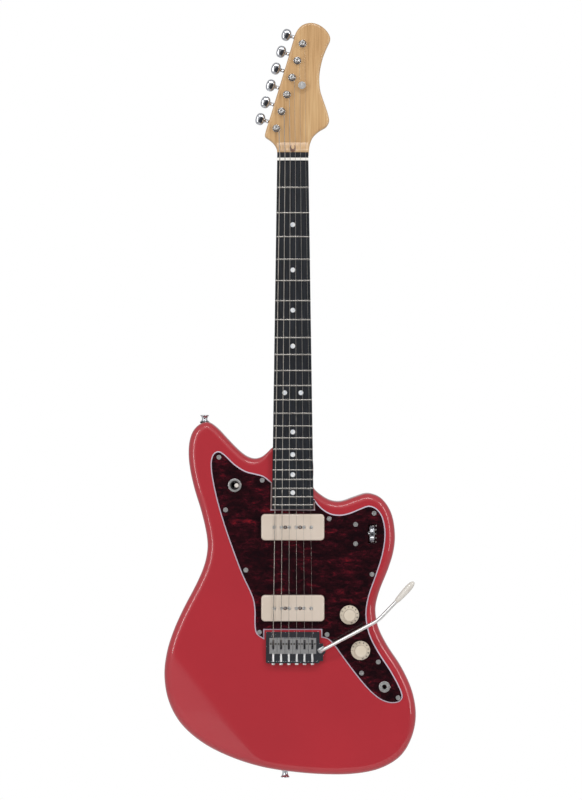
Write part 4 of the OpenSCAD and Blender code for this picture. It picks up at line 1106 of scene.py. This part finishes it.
def string_path(i):
    """One string: out of the block, over its saddle and the nut, and round its post."""
    gauge = STRING_D[i]
    x = saddle_middles()[i]
    nut_low, nut_high = box("nut")
    nut_x = (i - 2.5) * (nut_high[0] - nut_low[0] - 7.4) / 5
    axes = machine_axes()
    post = post_place(i + 1)
    reach = POST_RADIUS + gauge / 2
    start = math.atan2(-axes[2, 1], -axes[0, 1])
    angle = start + np.linspace(0, 2 * math.pi * WRAPS, int(28 * WRAPS))
    depth = WRAP_Y + np.linspace(0, WRAPS * gauge * 1.08, len(angle))
    wraps = np.stack(
        [post[0] + reach * np.cos(angle), depth, post[1] + reach * np.sin(angle)], axis=1
    )
    crown_nut = nut_x**2 / (2 * BOARD_RADIUS)
    crown_saddle = x**2 / (2 * BOARD_RADIUS)
    run = [
        (x, 28, -10),
        (x, -6.5, -10),
        (x, SADDLE_Y + crown_saddle, 0),
        (nut_x, NUT_Y + crown_nut, SCALE_LENGTH),
        (nut_x, NUT_Y + crown_nut, SCALE_LENGTH + 3.6),
    ]
    if i > 3:
        tree = box("string_tree")
        height = (tree[0][2] + tree[1][2]) / 2
        share = (height - SCALE_LENGTH) / (wraps[0][2] - SCALE_LENGTH)
        run.append((nut_x + (wraps[0][0] - nut_x) * share, -5.4, height))
    run = softened(np.vstack([run, wraps[:1]]), 2.5, 4)
    return np.vstack([run[:-1], wraps])


def tuner_post(n):
    """A slotted, drilled string post, waisted where the string lies."""
    low, high = box(f"tuner_post_{n}")
    x, z = post_place(n)
    top = high[1] - low[1]
    profile = [(0, 0), (3.1, 0), (3.1, 0.5), (4.7, 0.8), (4.7, 6.2), (3.1, 6.5)]
    profile += [(3.1, top - 8), (2.8, top - 7), (2.8, top - 4.4), (3.1, top - 3.6), (3.1, top), (1.3, top)]
    profile += [(1.3, top - 6), (0, top - 6)]
    post = turned(softened(profile, 0.35, 2), (x, high[1], z), FRONT, 32)
    slot = block((-0.75, low[1] - 1, -6), (0.75, low[1] + 3.5, 6))
    axes = machine_axes()
    matrix = np.stack([axes[:, 1], BACK, axes[:, 0]], axis=1)
    return cut(post, [moved(slot, matrix, (x, 0, z))])


def tuner_key(n):
    """A cast key: an oval button on a tapered neck, and its shaft with the worm's collar.

    Across the row and through its thickness the button's half-widths are a and b times
    (1 - |v|^2.4)^(1/2.4), where v runs from -1 to 1 along the shaft.
    """
    axes = machine_axes()
    at = pivot(f"key_{n}_turn")
    v = np.sin(np.linspace(-math.pi / 2, math.pi / 2, 25))
    grow = np.maximum(1 - np.abs(v) ** 2.4, 0) ** (1 / 2.4)
    angle = np.linspace(0, 2 * math.pi, 36, endpoint=False)
    ring = np.stack([np.cos(angle), np.sin(angle)], axis=1)
    ring = np.sign(ring) * np.abs(ring) ** 0.82
    across = 8.25 * grow[:, None] * ring[:, 0]
    along = KEY_OUT + 6.4 * v[:, None] + 0 * across
    deep = 4.4 * grow[:, None] ** 0.8 * ring[:, 1]
    button = skin(np.stack([across, along, deep], axis=-1) @ axes.T + at)
    stem = [(0, -6.4), (1.7, -6.4), (1.7, -3.6), (2.5, -3.3), (2.5, 3.2), (1.7, 3.5), (1.7, 12.5)]
    stem += [(2.6, 14.0), (2.6, 15.2), (2.0, 16.5), (3.2, 19.5), (0, 21)]
    shaft = turned(softened(stem, 0.6, 2), at, axes[:, 1], 24)
    return join([button, shaft])


def arm_place(reach, degrees, start):
    """The point that lies a distance from another in a direction across the front, rising at 12
    degrees from the body."""
    turn = math.radians(degrees)
    flat = math.cos(ARM_RISE)
    step = np.array([math.cos(turn) * flat, -math.sin(ARM_RISE), math.sin(turn) * flat])
    return np.asarray(start, float) + reach * step


def vibrato_arm():
    """The arm: up out of its socket, bent over, a long straight run and a cranked end."""
    x, _, z = pivot("arm_swing")
    bend = np.array([x, -14.0, z])
    knee = arm_place(90, 29, bend)
    end = arm_place(36, 47, knee)
    path = softened([(x, 8, z), (x, 0, z), (x, -14.8, z), knee, end + (end - knee) * 0.12], 9, 8)
    rod = tube(path, 2.5, 20)
    collar = turned(softened([(0, 5.5), (3.6, 5.5), (3.6, 8), (0, 8)], 0.5), (x, 0, z), FRONT, 28)
    along = arm_place(1, 49, (0, 0, 0))
    sleeve = [(0, 0.1), (3.3, 0.1), (4.5, 17), (4.6, 26), (3.7, 33), (1.6, 36.6), (0, 37)]
    return join([rod, collar]), turned(softened(sleeve, 5, 5), end, along, 36)


def vibrato_spring(x, low, high, y, radius):
    """A close-wound extension spring with a hook on each end.

    The wire's centre runs round a circle (radius cos a, radius sin a) while it climbs evenly.
    """
    wire = 0.6
    turns = int((high - low - 16) / 1.55)
    angle = np.linspace(0, 2 * math.pi * turns, turns * 14)
    climb = np.linspace(low + 8, high - 8, len(angle))
    coil = np.stack([x + radius * np.cos(angle), y + radius * np.sin(angle), climb], axis=1)
    foot = [(x, y, low), (x, y, low + 4), (x + radius * 0.6, y, low + 6.5)]
    head = [(x + radius * 0.6, y, high - 6.5), (x, y, high - 4), (x, y, high)]
    return tube(np.vstack([foot, coil, head]), wire, 6)


# ---- Putting the pieces in place ----

make("body_wood", cut(body_blank(), body_routs()), LACQUER, "guitar", ["body"], 30)
make("neck_wood", neck_wood(), MAPLE, "guitar", ["neck"], 34)
make("fret_wires", fret_wires(), NICKEL, "guitar", ["frets"], 50)
make("pickguard_sheet", pickguard(), SHELL, "guitar", ["pickguard"], 20)
for node in ("neck_pickup_cover", "bridge_pickup_cover"):
    make(node + "_shell", pickup_cover(node), COVER_CREAM, "guitar", [node], 30)
for node, body in (("volume_knob", "volume_control"), ("tone_knob", "tone_control")):
    make(node + "_cap", knob(node), KNOB_CREAM, body, [node], 40)
    make(node + "_numbers", skirt_numbers(node), INK, body)
make("roller_marks", roller_marks(), PALE_INK, "guitar")
make("knurled_roller", roller_wheel(), CHROME, "roller", ["roller_wheel"], 25)
lever, cap = toggle_parts()
make("toggle_bat", lever, CHROME, "toggle", ["toggle_lever"])
make("toggle_cap", cap, IVORY, "toggle")
for n in range(1, 7):
    post_name, key_name = f"tuner_post_{n}", f"tuner_key_{n}"
    make(post_name + "_slotted", tuner_post(n), SATIN_NICKEL, f"post_{n}", [post_name])
    make(key_name + "_button", tuner_key(n), CHROME, f"key_{n}", [key_name], 50)
rod, tip = vibrato_arm()
make("vibrato_arm_rod", rod, SATIN_NICKEL, "arm", ["tremolo_arm"])
make("vibrato_arm_tip", tip, IVORY, "arm", ["arm_tip"])

string_pieces = [tube(string_path(i), STRING_D[i] / 2, 10) for i in range(6)]
ball_end = softened([(0, 0), (2, 0), (2, 3), (0, 3)], 0.5)
balls = [turned(ball_end, (x, 31, -10), FRONT, 20) for x in saddle_middles()]
strings = make("string_set", join(string_pieces + balls), STRING, None, ["strings"], 60)
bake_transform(strings)

springs = []
for low, high in islands("tremolo_springs"):
    x, y, _ = (low + high) / 2
    springs.append(vibrato_spring(x, low[2], high[2], y, 3.2))
coils = make("vibrato_spring_coils", join(springs), ROD_STEEL, None, ["tremolo_springs"], 60)
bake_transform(coils)

ROUNDED = [
    ("nut", BONE, "bone", 0.5, "guitar"),
    ("pickguard_screws", SATIN_NICKEL, "steel", 0.5, "guitar"),
    ("neck_plate", CHROME, "chrome", 0.5, "guitar"),
    ("neck_screws", SATIN_NICKEL, "steel", 0.6, "guitar"),
    ("tuner_housings", CHROME, "chrome", 1.0, "guitar"),
    ("tuner_ferrules", CHROME, "chrome", 0.5, "guitar"),
    ("tuner_screws", SATIN_NICKEL, "steel", 0.2, "guitar"),
    ("string_tree", SATIN_NICKEL, "chrome", 0.5, "guitar"),
    ("pickup_screws", SATIN_NICKEL, "steel", 0.3, "guitar"),
    ("panel_nuts", SATIN_NICKEL, "chrome", 0.5, "guitar"),
    ("output_jack", SATIN_NICKEL, "chrome", 0.3, "guitar"),
    ("strap_buttons", CHROME, "chrome", 0.5, "guitar"),
    ("strap_button_screws", SATIN_NICKEL, "steel", 0.3, "guitar"),
    ("strap_button_felt", FELT, "felt", 0.5, "guitar"),
    ("back_cover", BACK_PLASTIC, "cover_plastic", 0.5, "guitar"),
    ("back_cover_screws", SATIN_NICKEL, "steel", 0.4, "guitar"),
    ("pivot_studs", CHROME, "chrome", 0.4, "guitar"),
    ("spring_claw", ZINC, "zinc", 0.3, "guitar"),
    ("bridge_plate", CHROME, "chrome", 0.5, "vibrato"),
    ("tremolo_block", ZINC, "zinc", 0.8, "vibrato"),
    ("saddles", SATIN_NICKEL, "chrome", 0.35, "vibrato"),
    ("intonation_screws", SATIN_NICKEL, "steel", 0.3, "vibrato"),
    ("saddle_height_screws", ROD_STEEL, "steel", 0.25, "vibrato"),
]
for node, material, slot, width, body in ROUNDED:
    rounded_copy(node, material, width, body)

DRESSED = {
    "fretboard": BOARD,
    "fret_dots": PEARL,
    "truss_rod": ROD_STEEL,
    "truss_rod_plug": WALNUT,
    "pickup_coils": COIL_WIRE,
    "control_pots": TINPLATE,
    "toggle_switch": SWITCH_BLACK,
    "roller_bracket": TINPLATE,
    "wiring": INSULATION,
    "tone_capacitor": CAPACITOR,
    "claw_screws": SATIN_NICKEL,
}
for node, material in DRESSED.items():
    dress(node, material)


# ---- Stage, light and camera ----

VIEW_MIDDLE = to_frame((-2.4, 0, 323.8))
VIEW_DISTANCE = 3.7
LENS_MM = 81.8
SENSOR_MM = 24
FLOOR_RADIUS = 0.8
FLOOR_HEIGHT = -1.05
DARK_SIDE = (0.3, -0.93, -0.21)  # direction of the dark part of the room
# Light levels of the room, as linear red, green and blue
DARK_ROOM = (0.05, 0.05, 0.055, 1)
PALE_ROOM = (0.52, 0.52, 0.53, 1)
EVEN_LIGHT = (0.46, 0.46, 0.475, 1)
BACKDROP = (1, 1, 1, 1)


def studio_floor():
    """A pale disc of floor well below the hanging guitar."""
    angle = np.linspace(0, 2 * math.pi, 96, endpoint=False)
    height = np.full(96, FLOOR_HEIGHT)
    rim = np.stack([FLOOR_RADIUS * np.cos(angle), FLOOR_RADIUS * np.sin(angle), height], axis=1)
    mesh = bpy.data.meshes.new("studio_floor")
    mesh.from_pydata(rim.tolist(), [], [list(range(96))])
    floor = bpy.data.objects.new("studio_floor", mesh)
    bpy.context.scene.collection.objects.link(floor)
    mesh.materials.append(moulded("matt_paper_floor", ["#e9e8e6", "#efeeec"], 0.8, 200))


def studio_world():
    """White behind the object and a pale even light all round. In reflections the room is dark
    in front of the guitar, a little to its treble side, and pale elsewhere, as a tent is round
    the lens."""
    world = bpy.data.worlds.new("studio")
    bpy.context.scene.world = world
    world.use_nodes = True
    world.node_tree.nodes.clear()
    rays = add(world, "ShaderNodeLightPath")
    where = add(world, "ShaderNodeTexCoord")
    direction = where.outputs["Generated"]
    ahead = add(world, "ShaderNodeVectorMath", {0: direction, 1: DARK_SIDE}, operation="DOT_PRODUCT")
    inputs = {"Value": ahead.outputs["Value"], "From Min": 0.91, "From Max": 0.78}
    side = add(world, "ShaderNodeMapRange", inputs, interpolation_type="SMOOTHSTEP")
    mirrored = mix(world, side.outputs[0], DARK_ROOM, PALE_ROOM)
    room = mix(world, rays.outputs["Is Glossy Ray"], EVEN_LIGHT, mirrored)
    seen = mix(world, rays.outputs["Is Camera Ray"], room, BACKDROP)
    light = add(world, "ShaderNodeBackground", {"Color": seen, "Strength": 1.0})
    add(world, "ShaderNodeOutputWorld", {"Surface": light.outputs[0]})


def softbox(name, place, width, height, power, mirrored=True):
    """A rectangular soft light aimed at the middle of the guitar, seen in reflections or not."""
    data = bpy.data.lights.new(name, "AREA")
    data.shape = "RECTANGLE"
    data.size, data.size_y = width, height
    data.energy = power
    lamp = bpy.data.objects.new(name, data)
    bpy.context.scene.collection.objects.link(lamp)
    lamp.location = place
    aim = Vector(VIEW_MIDDLE) - Vector(place)
    lamp.rotation_euler = aim.to_track_quat("-Z", "Y").to_euler()
    lamp.visible_glossy = mirrored


def camera():
    """A long lens square to the guitar's front."""
    data = bpy.data.cameras.new("camera")
    data.sensor_width = SENSOR_MM
    data.lens = LENS_MM
    eye = bpy.data.objects.new("camera", data)
    bpy.context.scene.collection.objects.link(eye)
    eye.location = (VIEW_MIDDLE[0], -VIEW_DISTANCE, VIEW_MIDDLE[2])
    eye.rotation_euler = (math.pi / 2, 0, 0)
    bpy.context.scene.camera = eye


studio_floor()
studio_world()
softbox("left_strip", (-1.9, -2.4, 0.1), 0.35, 2.4, 25)
softbox("right_strip", (1.9, -2.4, 0.1), 0.35, 2.4, 25)
softbox("top_box", (0, -2.2, 1.6), 1.8, 0.4, 20)
softbox("back_box", (0, 3.2, -0.34), 0.8, 0.8, 40, mirrored=False)
camera()
bpy.context.scene.view_settings.view_transform = "Standard"
